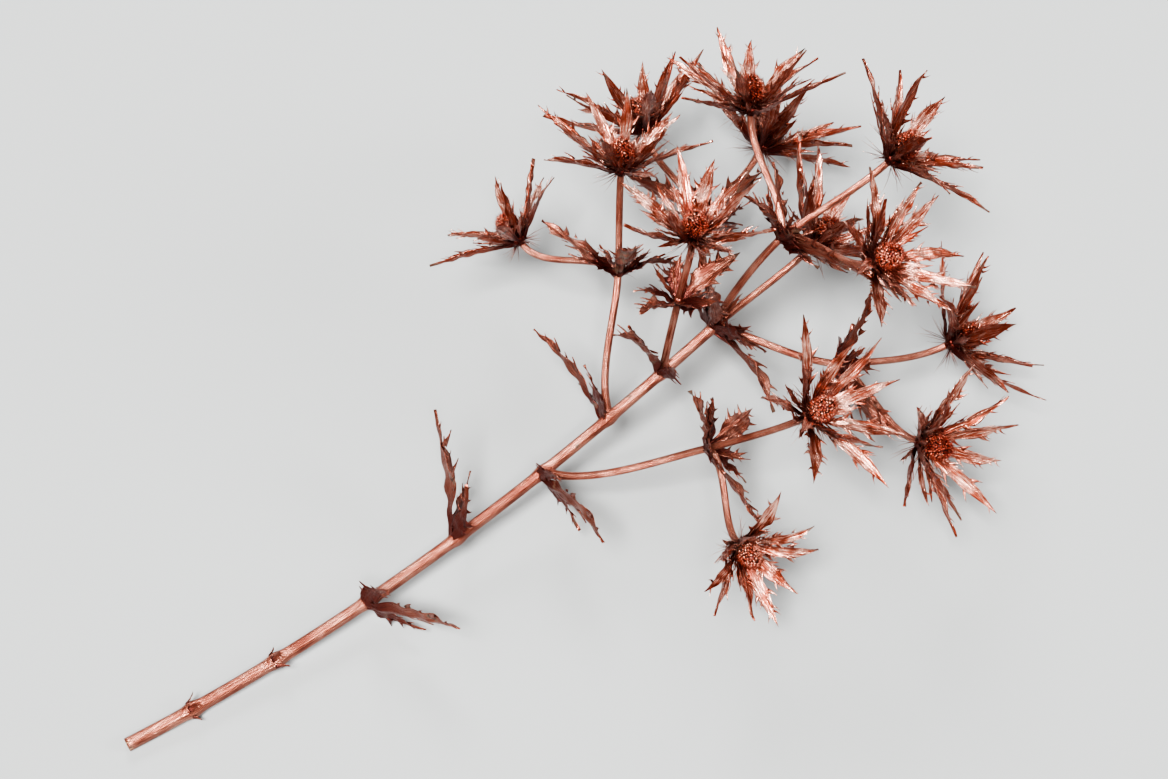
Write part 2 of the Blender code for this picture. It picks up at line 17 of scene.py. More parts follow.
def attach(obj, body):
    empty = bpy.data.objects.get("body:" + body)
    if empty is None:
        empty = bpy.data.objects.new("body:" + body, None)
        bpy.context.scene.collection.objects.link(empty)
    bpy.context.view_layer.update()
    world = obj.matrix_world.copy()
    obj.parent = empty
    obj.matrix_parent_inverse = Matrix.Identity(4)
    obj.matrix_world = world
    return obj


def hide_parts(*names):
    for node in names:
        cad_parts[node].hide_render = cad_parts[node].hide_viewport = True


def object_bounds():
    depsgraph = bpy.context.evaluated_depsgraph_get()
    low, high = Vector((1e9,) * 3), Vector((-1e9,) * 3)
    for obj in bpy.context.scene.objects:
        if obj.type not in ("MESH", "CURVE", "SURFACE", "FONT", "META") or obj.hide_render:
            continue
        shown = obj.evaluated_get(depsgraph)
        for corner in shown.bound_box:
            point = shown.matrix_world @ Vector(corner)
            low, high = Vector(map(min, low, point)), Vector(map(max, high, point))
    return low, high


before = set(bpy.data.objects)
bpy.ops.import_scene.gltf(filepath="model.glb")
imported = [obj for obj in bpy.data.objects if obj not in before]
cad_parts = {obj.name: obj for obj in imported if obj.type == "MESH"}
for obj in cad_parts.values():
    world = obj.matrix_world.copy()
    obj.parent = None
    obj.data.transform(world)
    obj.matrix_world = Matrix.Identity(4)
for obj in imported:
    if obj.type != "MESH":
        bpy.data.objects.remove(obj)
cad_low, cad_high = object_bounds()

# Driving dimensions
GAP = 0.0003
BLADE_CLEARANCE = 0.0008
FLAT_SPOT_DEPTH = 0.0004
CUT_END_RADIUS = 0.0036
WHORL_RADIUS = 0.0029
BRANCH_RADIUS = 0.0021
STALK_RADIUS = 0.0019
KNUCKLE_SWELL = 1.32
LEAVING_ANGLE = 1.05
BRACT_LENGTH = 0.053
BRACT_WIDTH = 0.0082
BRACT_SPINE = 0.0029
LEAF_LENGTH = 0.054
LEAF_WIDTH = 0.0145
LOBE_REACH = 0.020
RIB_DEPTH = 0.0011
BRISTLE_LENGTH = 0.012
BRISTLE_RADIUS = 0.0005
BRISTLES_PER_HEAD = 4
CONE_RADIUS = 0.0062
CONE_HEIGHT = 0.0160
CONE_FILL = 0.93
FLORET_HEIGHT = 0.0012
CUP_RADIUS = 0.0056
CUP_HEIGHT = 0.0042

# The main stem, and where the part's own origin lies on the surface
FOOTPRINT_CENTRE = Vector((0.0040, -0.0448, 0.0))
CUT_END = Vector((-0.030, -0.300, CUT_END_RADIUS - FLAT_SPOT_DEPTH))
CUT_END_HEADING = Vector((0.20, 0.98, 0.05))
WHORL = Vector((0.0, 0.060, 0.058))
WHORL_HEADING = Vector((0.02, 0.95, 0.30))
STRIPPED_NODES_AT = (0.10, 0.23)
STEM_LEAVES = ((0.38, Vector((0.9, 0.0, 0.45)), 1.15), (0.53, Vector((-0.8, 0.0, 0.6)), 1.25))


class HeadSite(NamedTuple):
    """Where a flower head sits: its foot, the way it faces and its size against a full head."""

    name: str
    foot: Vector
    facing: Vector
    size: float
    bracts: int
    openness: float


class Branch(NamedTuple):
    """A side branch: where along the main stem it leaves, its fork and the heads above it."""

    name: str
    leaves_at: float
    fork: Vector
    fork_leaves: int
    heads: tuple


def head(name, foot, facing, size, bracts, openness):
    return HeadSite(name, Vector(foot), Vector(facing).normalized(), size, bracts, openness)


TERMINAL_HEAD = head("terminal", (0.005, 0.119, 0.078), (0.10, 0.80, 0.59), 1.0, 12, 1.0)
BRANCHES = (
    Branch("left_branch", 1.0, Vector((-0.053, 0.099, 0.056)), 3, (
        head("left_front", (-0.070, 0.154, 0.046), (-0.32, 0.90, 0.30), 1.0, 12, 1.0),
        head("left_side", (-0.109, 0.106, 0.064), (-0.82, 0.30, 0.49), 0.95, 12, 1.0),
    )),
    Branch("right_branch", 1.0, Vector((0.056, 0.094, 0.055)), 3, (
        head("right_front", (0.081, 0.149, 0.045), (0.34, 0.90, 0.28), 1.0, 12, 1.05),
        head("right_side", (0.117, 0.092, 0.062), (0.86, 0.22, 0.46), 0.92, 11, 0.95),
    )),
    Branch("upper_branch", 1.0, Vector((0.004, 0.098, 0.110)), 4, (
        head("upper_front", (0.014, 0.158, 0.131), (0.12, 0.84, 0.53), 1.0, 12, 0.95),
        head("upper_left", (-0.047, 0.120, 0.141), (-0.46, 0.42, 0.78), 0.92, 11, 1.0),
        head("upper_right", (0.057, 0.106, 0.145), (0.50, 0.32, 0.80), 0.9, 11, 0.95),
    )),
    Branch("low_left_branch", 0.80, Vector((-0.053, 0.039, 0.066)), 3, (
        head("low_left_front", (-0.080, 0.063, 0.103), (-0.40, 0.40, 0.82), 0.9, 11, 0.95),
        head("low_left_side", (-0.101, 0.014, 0.060), (-0.88, -0.06, 0.47), 0.8, 10, 0.9),
    )),
    Branch("low_right_branch", 0.68, Vector((0.052, 0.010, 0.060)), 3, (
        head("low_right_front", (0.082, 0.045, 0.095), (0.42, 0.42, 0.80), 0.9, 11, 1.0),
        head("low_right_side", (0.099, -0.012, 0.055), (0.88, -0.16, 0.45), 0.76, 10, 0.9),
    )),
    Branch("middle_branch", 0.90, Vector((-0.008, 0.040, 0.096)), 2, (
        head("middle", (-0.014, 0.053, 0.131), (-0.14, 0.20, 0.97), 0.86, 11, 1.0),
    )),
)
RESTING_HEADS = ("left_front", "right_front")


class Blade(NamedTuple):
    """A stiff spiny blade on a curved midrib. Its outlines are (place, out, foot) points.

    The place is a share of the length, out is the distance from the midrib, and the foot
    is the midrib station that the outline point is seen from."""

    root: Vector
    along: Vector
    face: Vector
    length: float
    bend: float
    twist: float
    fold: float
    curl: float
    rib: float
    stations: tuple = ()
    outlines: tuple = ()


def between(first, second, angle):
    """The direction that an angle turns to, from one direction towards another square to it."""
    return math.cos(angle) * first + math.sin(angle) * second


def midrib(blade, place):
    """Point on the midrib, and the across and face directions there."""
    angle = blade.bend * place
    if abs(blade.bend) < 1e-4:
        point = blade.root + blade.along * (blade.length * place)
    else:
        reach = blade.length / blade.bend
        point = blade.root + reach * (math.sin(angle) * blade.along + (1 - math.cos(angle)) * blade.face)
    forward = between(blade.along, blade.face, angle)
    face = between(blade.face, -blade.along, angle)
    turn = Matrix.Rotation(blade.twist * place, 3, forward)
    return point, turn @ forward.cross(face), turn @ face


def blade_point(blade, place, out, side, lift=0.0):
    """A point beside the midrib: out along the folded and curled half, lifted off the face."""
    point, across, face = midrib(blade, place)
    half = between(side * across, face, blade.fold)
    return point + out * half + (lift + blade.curl * out * out) * face


def blade_solid(blade, grow=0.0):
    """Closed lens of a blade: a channelled face, a keel behind it and one shared outline."""
    corners = []

    def corner(place, out, side, lift=0.0):
        corners.append(blade_point(blade, place, out, side, lift))
        return len(corners) - 1

    rib_face = []
    rib_keel = []
    for place in blade.stations:
        rib_face.append(corner(place, 0.0, 1, grow))
        rib_keel.append(corner(place, 0.0, 1, -blade.rib * (1 - 0.4 * place) - grow))
    tip = corner(1 + grow / blade.length, 0.0, 1, -0.3 * blade.rib)
    rib_face.append(tip)
    rib_keel.append(tip)
    faces = []
    roots = []
    for side, outline in zip((1, -1), blade.outlines):
        edge = [corner(place, out + grow, side) for place, out, _ in outline] + [tip]
        roots.append(edge[0])
        feet = [foot for _, _, foot in outline] + [len(blade.stations)]
        faces += blade_half(rib_face, edge, feet, side) + blade_half(rib_keel, edge, feet, -side)
    faces += [(rib_face[0], roots[1], rib_keel[0]), (rib_face[0], rib_keel[0], roots[0])]
    return corners, faces


def blade_half(ribs, edge, feet, turn):
    """Triangles between the midrib and one edge, fanned from each edge point's foot."""
    faces = []
    for j in range(len(edge) - 1):
        faces.append((ribs[feet[j]], edge[j], edge[j + 1]))
        faces.extend((ribs[i], edge[j + 1], ribs[i + 1]) for i in range(feet[j], feet[j + 1]))
    whole = [face for face in faces if len(set(face)) == 3]
    return whole if turn > 0 else [face[::-1] for face in whole]


def lance(place):
    """Half width of a lance shape against its whole width: narrow root, drawn out tip."""
    return 0.5 * (1 - place) ** 0.7 * (0.33 + 2.9 * place**1.2)


BRACT_STATIONS = (0.0, 0.22, 0.50)
INNER_BRACT_STATIONS = (0.0, 0.33)


def bract_outline(draw, width, spine, is_inner):
    """One edge of a bract: slender spines that lean forward from its lance shape."""
    outline = [(0.0, width * lance(0.0), 0)]
    for foot, middle in ((1, 0.50),) if is_inner else ((1, 0.38), (2, 0.65)):
        tip = middle + draw.uniform(-0.02, 0.03)
        reach = spine * draw.uniform(0.75, 1.2) * (1.2 - 0.5 * tip)
        for place, out in ((tip - 0.13, 0.0), (tip, reach), (tip - 0.05, 0.0)):
            outline.append((place, width * lance(place) + out, foot))
    return tuple(outline)


LEAF_STATIONS = (0.0, 0.10, 0.28, 0.52)


def leaf_outline(draw, width, lobe):
    """One edge of a three-lobed leaf: a spiny side lobe, then the middle lobe's spines."""
    lobe = lobe * draw.uniform(0.8, 1.15)
    shift = draw.uniform(-0.02, 0.03)
    return (
        (0.0, 0.16 * width, 0),
        (0.07, 0.32 * lobe, 0),
        (0.17 + shift, 0.76 * lobe, 1),
        (0.20, 0.55 * lobe, 1),
        (0.44 + shift, lobe, 1),
        (0.31, 0.42 * lobe, 1),
        (0.27, 0.26 * width, 1),
        (0.42, 0.46 * width, 2),
        (0.57 + shift, 0.78 * width, 2),
        (0.54, 0.44 * width, 3),
        (0.66, 0.37 * width, 3),
        (0.80 + shift, 0.58 * width, 3),
        (0.77, 0.26 * width, 3),
    )


class Axis(NamedTuple):
    """One stretch of stem: its points, headings and radii, root first."""

    points: list
    headings: list
    radii: list


def grown_axis(start, start_heading, end, end_heading, start_radius, end_radius, count):
    """Stem on a smooth curve that leaves and arrives in the given headings."""
    chord = (end - start).length
    leave = start_heading.normalized() * chord
    arrive = end_heading.normalized() * chord
    axis = Axis([], [], [])
    for step in range(count + 1):
        t = step / count
        axis.points.append(
            (2 * t**3 - 3 * t**2 + 1) * start
            + (t**3 - 2 * t**2 + t) * leave
            + (3 * t**2 - 2 * t**3) * end
            + (t**3 - t**2) * arrive
        )
        heading = (6 * t**2 - 6 * t) * (start - end) + (3 * t**2 - 4 * t + 1) * leave
        heading += (3 * t**2 - 2 * t) * arrive
        axis.headings.append(heading.normalized())
        axis.radii.append(start_radius + (end_radius - start_radius) * t)
    return axis


def along_axis(axis, share):
    """Point, heading and radius at a share of an axis's length."""
    place = share * (len(axis.points) - 1)
    low = min(int(place), len(axis.points) - 2)
    part = place - low
    point = axis.points[low].lerp(axis.points[low + 1], part)
    heading = axis.headings[low].lerp(axis.headings[low + 1], part).normalized()
    return point, heading, axis.radii[low] + part * (axis.radii[low + 1] - axis.radii[low])


def tube_faces(rows, sides):
    """Walls, foot and top of a closed tube whose corners are stored ring by ring."""
    grid = np.arange(rows * sides).reshape(rows, sides)
    after = np.roll(grid, -1, axis=1)
    walls = np.stack([grid[:-1], after[:-1], after[1:], grid[1:]], axis=-1).reshape(-1, 4)
    return [*walls.tolist(), grid[0, ::-1].tolist(), grid[-1].tolist()]


def tube_solid(axis, sides):
    """Closed stem with flat ends."""
    corners = []
    across = axis.headings[0].orthogonal().normalized()
    for point, heading, radius in zip(*axis):
        across = square_to(across, heading)
        other = heading.cross(across)
        for side in range(sides):
            corners.append(point + radius * between(across, other, 2 * math.pi * side / sides))
    return corners, tube_faces(len(axis.points), sides)


def cup_reach(site):
    return CUP_RADIUS * (0.45 + 0.55 * site.size)


def cup_solid(site):
    """Cup under a head that its bracts grow from."""
    points = [site.foot + site.facing * height for height in (0.0, 0.65 * CUP_HEIGHT, CUP_HEIGHT)]
    radii = [STALK_RADIUS, cup_reach(site), 0.95 * cup_reach(site)]
    return tube_solid(Axis(points, [site.facing] * 3, radii), 8)


def cone_form(site):
    """Foot, radius and height of a head's cone."""
    scale = 0.4 + 0.6 * site.size
    return site.foot + site.facing * (CUP_HEIGHT + GAP), CONE_RADIUS * scale, CONE_HEIGHT * scale


def cone_width(radius, level):
    """How wide a cone is at a level, which is a share of its height."""
    belly = 0.65 + 0.35 * np.sin(0.5 * math.pi * np.minimum(1.0, 2.2 * level))
    dome = np.sqrt(np.clip(1 - (np.clip(level - 0.3, 0.0, None) / 0.78) ** 2.3, 0.0, 1.0))
    return radius * belly * dome


def cone_solid(site, columns=9, rows=6):
    """Egg-shaped cone of florets: a leaning grid of cells, each raised to a point."""
    foot, radius, height = cone_form(site)

    def place(row, column, lift):
        outward = between(*around(site.facing), 2 * math.pi * (column + 0.5 * row) / columns)
        out = float(cone_width(radius, row / rows)) + lift
        return foot + site.facing * (CONE_FILL * height * (row / rows) + 0.6 * lift) + outward * out

    corners = [place(row, column, 0.0) for row in range(rows + 1) for column in range(columns)]
    *cells, base, top = tube_faces(rows + 1, columns)
    faces = [base]
    for number, cell in enumerate(cells):
        row, column = divmod(number, columns)
        faces.extend((cell[k], cell[(k + 1) % 4], len(corners)) for k in range(4))
        corners.append(place(row + 0.5, column + 0.5, FLORET_HEIGHT * (1.0 if row else 0.35)))
    faces.extend((top[k], top[(k + 1) % columns], len(corners)) for k in range(columns))
    corners.append(foot + site.facing * height)
    return corners, faces


class Thicket:
    """What has been placed so far, by node, so that a new blade can be bent clear of it."""

    def __init__(self):
        self.items = []

    def add(self, node, corners, faces):
        self.items.append((node, BVHTree.FromPolygons(corners, faces)))

    def clear(self, node, corners, faces):
        if min(corner.z for corner in corners) < BLADE_CLEARANCE:
            return False
        own = BVHTree.FromPolygons(corners, faces)
        return not any(owner != node and own.overlap(tree) for owner, tree in self.items)


def settled(thicket, node, make, draw, tries=80):
    """The first form of a blade that clears every other node, straying ever further, or None."""
    for attempt in range(tries):
        stray = attempt / tries
        blade = make(stray, draw, 1.0 - 0.5 * stray * stray)
        if thicket.clear(node, *blade_solid(blade, BLADE_CLEARANCE)):
            return blade
    return None


def around(facing):
    """Two directions square to an axis: the one nearest to up, and the one beside it."""
    first = square_to(Vector((0, 0, 1)), facing)
    return first, facing.cross(first)


def square_to(direction, heading):
    """The part of a direction that is square to a heading, as a unit vector."""
    return (direction - direction.dot(heading) * heading).normalized()


def spread_blade(origin, facing, outward, spread, ring, **form):
    """A blade that leaves a ring round an axis, at an angle of spread from that axis."""
    along = between(facing, outward, spread)
    face = between(-outward, facing, spread)
    return Blade(root=origin + ring * outward, along=along, face=face, **form)


def place_leaf(thicket, node, stem, outward, spread, scale):
    """One three-lobed leaf that clasps a stem, bent clear of the other nodes."""
    centre, heading, radius = stem
    draw = random.Random(f"{node} {scale} {outward.to_tuple(3)}")
    form = {
        "bend": draw.uniform(-0.7, 0.2),
        "twist": draw.uniform(-0.5, 0.5),
        "fold": draw.uniform(0.2, 0.5),
        "curl": draw.uniform(-14.0, 6.0),
        "rib": 1.15 * RIB_DEPTH,
        "stations": LEAF_STATIONS,
        "outlines": tuple(leaf_outline(draw, LEAF_WIDTH * scale, LOBE_REACH * scale) for _ in range(2)),
    }

    def make(stray, draw, keep):
        turned = Matrix.Rotation(draw.uniform(-0.9, 0.9) * stray, 3, heading) @ outward
        opened = spread + draw.uniform(-0.7, 0.6) * stray
        changed = {**form, "length": LEAF_LENGTH * scale * keep}
        changed["bend"] += draw.uniform(-0.7, 0.7) * stray
        return spread_blade(centre - heading * radius, heading, turned, opened, 0.4 * radius, **changed)

    blade = settled(thicket, node, make, draw)
    if blade:
        thicket.add(node, *blade_solid(blade))
    return blade


def bract_form(site, number, draw):
    """Azimuth, spread and shape of a head's bract before it is bent clear."""
    azimuth = math.pi + 2 * math.pi * (number + draw.uniform(-0.2, 0.2) * (number > 0)) / site.bracts
    is_inner = number % 2
    spread = (0.74 if is_inner else 1.12) * site.openness + draw.uniform(-0.12, 0.14)
    width = BRACT_WIDTH * (0.5 + 0.5 * site.size) * draw.uniform(0.88, 1.12)
    spine = BRACT_SPINE * site.size
    form = {
        "length": BRACT_LENGTH * site.size * (0.9 if is_inner else 1.0) * draw.uniform(0.9, 1.1),
        "bend": draw.uniform(-0.45, 0.4),
        "twist": draw.uniform(-0.8, 0.8),
        "fold": draw.uniform(0.25, 0.6),
        "curl": draw.uniform(-20.0, 10.0),
        "rib": RIB_DEPTH,
        "stations": INNER_BRACT_STATIONS if is_inner else BRACT_STATIONS,
        "outlines": tuple(bract_outline(draw, width, spine, is_inner) for _ in range(2)),
    }
    return azimuth, spread, form


def place_bracts(thicket, site):
    """The ruff of one head: every bract bent clear of what stands round it."""
    node = f"head_{site.name}_bracts"
    first, second = around(site.facing)
    origin = site.foot + site.facing * (0.5 * CUP_HEIGHT)
    ring = 0.72 * CUP_RADIUS * (0.45 + 0.55 * site.size)
    blades = []
    for number in range(site.bracts):
        draw = random.Random(f"{node} {number}")
        azimuth, spread, form = bract_form(site, number, draw)

        def make(stray, draw, keep):
            outward = between(first, second, azimuth + draw.uniform(-0.35, 0.35) * stray)
            opened = max(0.62, min(1.8, spread + draw.uniform(-0.7, 0.8) * stray))
            changed = {**form, "length": form["length"] * keep}
            changed["bend"] += draw.uniform(-0.9, 0.9) * stray
            return spread_blade(origin, site.facing, outward, opened, ring, **changed)

        if number == 0 and site.name in RESTING_HEADS:
            blades.append(resting_bract(origin, site.facing, -first, ring, form))
        else:
            blades.append(settled(thicket, node, make, draw))
    blades = [blade for blade in blades if blade]
    for blade in blades:
        thicket.add(node, *blade_solid(blade))
    return blades


def resting_bract(origin, facing, downward, ring, form):
    """The lowest bract of a head that bears on the surface, opened until its tip meets it."""
    straight = {**form, "bend": 0.1, "twist": 0.0, "curl": 0.0}
    closed = 0.5
    opened = 1.9
    for _ in range(30):
        spread = 0.5 * (closed + opened)
        blade = spread_blade(origin, facing, downward, spread, ring, **straight)
        lowest = min(corner.z for corner in blade_solid(blade)[0])
        if lowest > -FLAT_SPOT_DEPTH:
            closed = spread
        else:
            opened = spread
    return blade


def place_bristles(thicket, site):
    """Fine spines round the foot of a head, as (root, direction, length)."""
    node = f"head_{site.name}_bracts"
    draw = random.Random(f"{node} bristles")
    bristles = []
    for number in range(BRISTLES_PER_HEAD):
        azimuth = 2 * math.pi * (number + draw.uniform(0.2, 0.8)) / BRISTLES_PER_HEAD
        outward = between(*around(site.facing), azimuth)
        along = between(site.facing, outward, draw.uniform(1.35, 2.2))
        length = BRISTLE_LENGTH * site.size * draw.uniform(0.75, 1.2)
        root = site.foot + site.facing * (0.4 * CUP_HEIGHT) + outward * (0.4 * CUP_RADIUS)
        reach = root + along * (length + BLADE_CLEARANCE)
        spike = tube_solid(Axis([root, reach], [along, along], [2 * BRISTLE_RADIUS, 0.0]), 3)
        if thicket.clear(node, *spike):
            bristles.append((root, along, length))
    return bristles


def branch_axes(branch, main_axis):
    """The axes of a side branch: the branch itself, then the stalk of each head."""
    point, heading, radius = along_axis(main_axis, branch.leaves_at)
    leave = between(heading, square_to(branch.fork - point, heading), LEAVING_ANGLE)
    start = point + leave * (KNUCKLE_SWELL * radius + GAP)
    onward = (branch.heads[0].foot - branch.fork).normalized()
    arrive = ((branch.fork - start).normalized() + onward).normalized()
    axes = [grown_axis(start, leave, branch.fork, arrive, BRANCH_RADIUS, 0.95 * BRANCH_RADIUS, 5)]
    return axes + [stalk_axis(branch.fork, arrive, site, STALK_RADIUS) for site in branch.heads]


def stalk_axis(start, onward, site, start_radius):
    """Stalk from a fork to just short of a head's foot."""
    end = site.foot - site.facing * GAP
    heading = ((end - start).normalized() + 0.5 * onward.normalized()).normalized()
    return grown_axis(start, heading, end, site.facing, start_radius, STALK_RADIUS, 4)


def fork_leaves(thicket, branch, axes):
    """Leaves round a fork, the first of them below its side stalk."""
    heading = axes[0].headings[-1]
    fork = (branch.fork, heading, BRANCH_RADIUS)
    outward = square_to(axes[-1].headings[2], heading)
    leaves = []
    for number in range(branch.fork_leaves):
        turned = Matrix.Rotation(2 * math.pi * number / branch.fork_leaves, 3, heading) @ outward
        leaves.append(place_leaf(thicket, branch.name, fork, turned, 1.05, 0.94 - 0.05 * number))
    return [leaf for leaf in leaves if leaf]


def main_stem_leaves(thicket, axis):
    """Leaves of the main stem: one below each side branch, and those further down."""
    leaves = []
    for branch in BRANCHES:
        stem = along_axis(axis, branch.leaves_at)
        outward = square_to(branch.fork - stem[0], stem[1])
        scale = 1.0 if branch.leaves_at == 1.0 else 1.1
        leaves.append(place_leaf(thicket, "main_stem", stem, outward, 1.35, scale))
    for share, direction, scale in STEM_LEAVES:
        stem = along_axis(axis, share)
        leaves.append(place_leaf(thicket, "main_stem", stem, square_to(direction, stem[1]), 1.0, scale))
    return [leaf for leaf in leaves if leaf]


def plan_stem():
    """Every axis, blade and bristle of the stem, bent clear of each other."""
    thicket = Thicket()
    main_axis = grown_axis(CUT_END, CUT_END_HEADING, WHORL, WHORL_HEADING, CUT_END_RADIUS, WHORL_RADIUS, 14)
    stems = {"main_stem": [main_axis, stalk_axis(WHORL, WHORL_HEADING, TERMINAL_HEAD, 1.1 * STALK_RADIUS)]}
    for branch in BRANCHES:
        stems[branch.name] = branch_axes(branch, main_axis)
    for node, axes in stems.items():
        for axis in axes:
            thicket.add(node, *tube_solid(axis, 6))
    sites = [TERMINAL_HEAD] + [site for branch in BRANCHES for site in branch.heads]
    for site in sites:
        thicket.add(f"head_{site.name}_cone", *cone_solid(site))
        thicket.add(f"head_{site.name}_bracts", *cup_solid(site))
    bracts = {}
    for site in sorted(sites, key=lambda one: one.name not in RESTING_HEADS):
        bracts[site.name] = place_bracts(thicket, site)
    leaves = {"main_stem": main_stem_leaves(thicket, main_axis)}
    for branch in BRANCHES:
        leaves[branch.name] = fork_leaves(thicket, branch, stems[branch.name])
    bristles = {site.name: place_bristles(thicket, site) for site in sites}
    return stems, leaves, sites, bracts, bristles


# Details finer than the solids. Profiles are (share of the length, half width) points
SKIN = 0.0004
MARGIN_SKIN = 0.00012
CREASE_ROUNDING = 0.0006
RIB_WIDTH = 0.13
SIDE_RIB_AT = 0.47
EMBEDDED = 0.0012
FOOT_SHARE = 0.46
BRACT_PROFILE = (
    (0.0, 0.155), (0.12, 0.22), (0.25, 0.33), (0.38, 0.42), (0.52, 0.49), (0.60, 0.485),
    (0.70, 0.385), (0.80, 0.265), (0.89, 0.14), (0.95, 0.065), (1.0, 0.008),
)
LEAF_PROFILE = (
    (0.0, 0.16), (0.12, 0.19), (0.24, 0.26), (0.34, 0.40), (0.44, 0.47), (0.54, 0.45),
    (0.66, 0.37), (0.77, 0.26), (0.87, 0.13), (0.94, 0.05), (1.0, 0.006),
)
SIDE_LOBE_PROFILE = (
    (0.0, 0.10), (0.18, 0.17), (0.36, 0.215), (0.52, 0.20), (0.68, 0.14), (0.84, 0.06), (1.0, 0.003),
)
SPINE_PROFILE = ((0.0, 1.0), (0.2, 0.76), (0.43, 0.47), (0.68, 0.23), (1.0, 0.03))
CUT_FACE = ((0.9, -0.002), (0.9, -0.0002), (0.86, 0.00008), (0.45, 0.0), (0.1, -0.0001))
STUB_PROFILE = ((0.0, 0.0019), (0.4, 0.0018), (0.75, 0.0010), (1.0, 0.0002))
SPINE_BACK = 0.085
SPINE_SUNK = 0.0007
TOOTH_SUNK = 0.0015
BRACT_FORM = {"rows": 24, "columns": 13, "ribs": 0.00052, "crumple": 0.00016}
LEAF_FORM = {"rows": 28, "columns": 13, "ribs": 0.00046, "crumple": 0.0003}
SIDE_LOBE_FORM = {"rows": 22, "columns": 11, "ribs": 0.00038, "crumple": 0.0002, "sink": 0.0002}
STUB_FORM = {"rows": 8, "columns": 7, "ribs": 0.0001, "wave": 0.0002}
SMALL_BRACT_FORM = {
    "rows": 15, "columns": 9, "skin": 0.0003, "keel": 0.0004,
    "ribs": 0.0003, "wave": 0.0003, "crumple": 0.00012,
}
SMALL_SPINES = 6
SMALL_SPINE_LEAN = 0.0022
STUBS_PER_NODE = 4
STUB_DEPTH = 0.002
STEM_STEPS = 170
STEM_SIDES = 40
BRANCH_STEPS = 30
STALK_STEPS = 26
STALK_SIDES = 30
NODE_LENGTH = 0.0034
BRANCH_FOOT = 0.0036
RIBBING = 0.05
WHISKER_RING = 0.0012
NEEDLE_ROWS = 5
BRISTLE_THICKNESS = 0.00028
FLORETS_PER_HEAD = 300
FLORET_LEAN = 0.45
FLORET_SCATTER = 0.22
CORE_DEPTH = 0.0012
FLORET_SIDES = 5
FLORET_UNIT = 0.001
BUD_PROFILE = ((0.30, -0.8), (0.52, 0.2), (0.60, 0.9), (0.28, 1.45))
FLORET_TOOTH = (0.36, 0.9, 0.80, 2.2, 0.19)
FLORET_NEEDLE = (0.75, 0.0, 1.1, 3.4, 0.22)
FLORET_NEEDLE_TURN = 0.4
# How much darker the foot colour makes a knuckle, a head's cup and a cone's core; the cup's and core's
# darkening is painted shade deep in the head.
KNUCKLE_DARKENING = (0.25, 0.0, 0.0)
CUP_SHADE = (0.8, 0.3, 0.0)
CORE_SHADE = (1.0, 0.0, 0.0)
GOLDEN_ANGLE = math.pi * (3 - math.sqrt(5))


class Fringe(NamedTuple):
    """Needles in a ring round an axis. The spread is their angle from it, and they stray
    between two shares of their length."""

    count: int
    spread: tuple
    length: float
    stray: tuple
    bend: float
    radius: float
    darkness: float


class Tuft(NamedTuple):
    """Short narrow bracts in a ring round an axis."""

    count: int
    spread: tuple
    length: tuple


NEEDLES = Fringe(90, (0.80, 1.55), 0.0145, (0.5, 1.25), 0.25, 0.00040, 0.5)
WHISKERS = Fringe(24, (1.45, 2.5), 0.0150, (0.5, 1.25), 0.25, 0.00019, 0.7)
WHORL_WHISKERS = Fringe(14, (0.7, 1.7), 0.012, (0.6, 1.2), 0.3, 0.00017, 0.6)
FORK_WHISKERS = WHORL_WHISKERS._replace(length=0.010)
HEAD_TUFT = Tuft(13, (0.75, 1.3), (0.018, 0.034))
WHORL_TUFT = Tuft(5, (0.7, 1.4), (0.014, 0.026))
FORK_TUFT = Tuft(5, (0.6, 1.3), (0.012, 0.022))


def smooth(low, high, value):
    share = np.clip((value - low) / (high - low), 0.0, 1.0)
    return share * share * (3 - 2 * share)


def stacked(*parts):
    """Broadcast numbers stacked into one array of triples or pairs."""
    return np.stack(np.broadcast_arrays(*parts), axis=-1)


def fanned(first, second, angles):
    """The directions that many angles turn to, from one direction towards another."""
    return np.cos(angles)[..., None] * np.asarray(first) + np.sin(angles)[..., None] * np.asarray(second)


def unit(directions):
    return directions / np.linalg.norm(directions, axis=-1, keepdims=True)


def seeded(name, more=0):
    return np.random.default_rng(sum(map(ord, name)) + more)


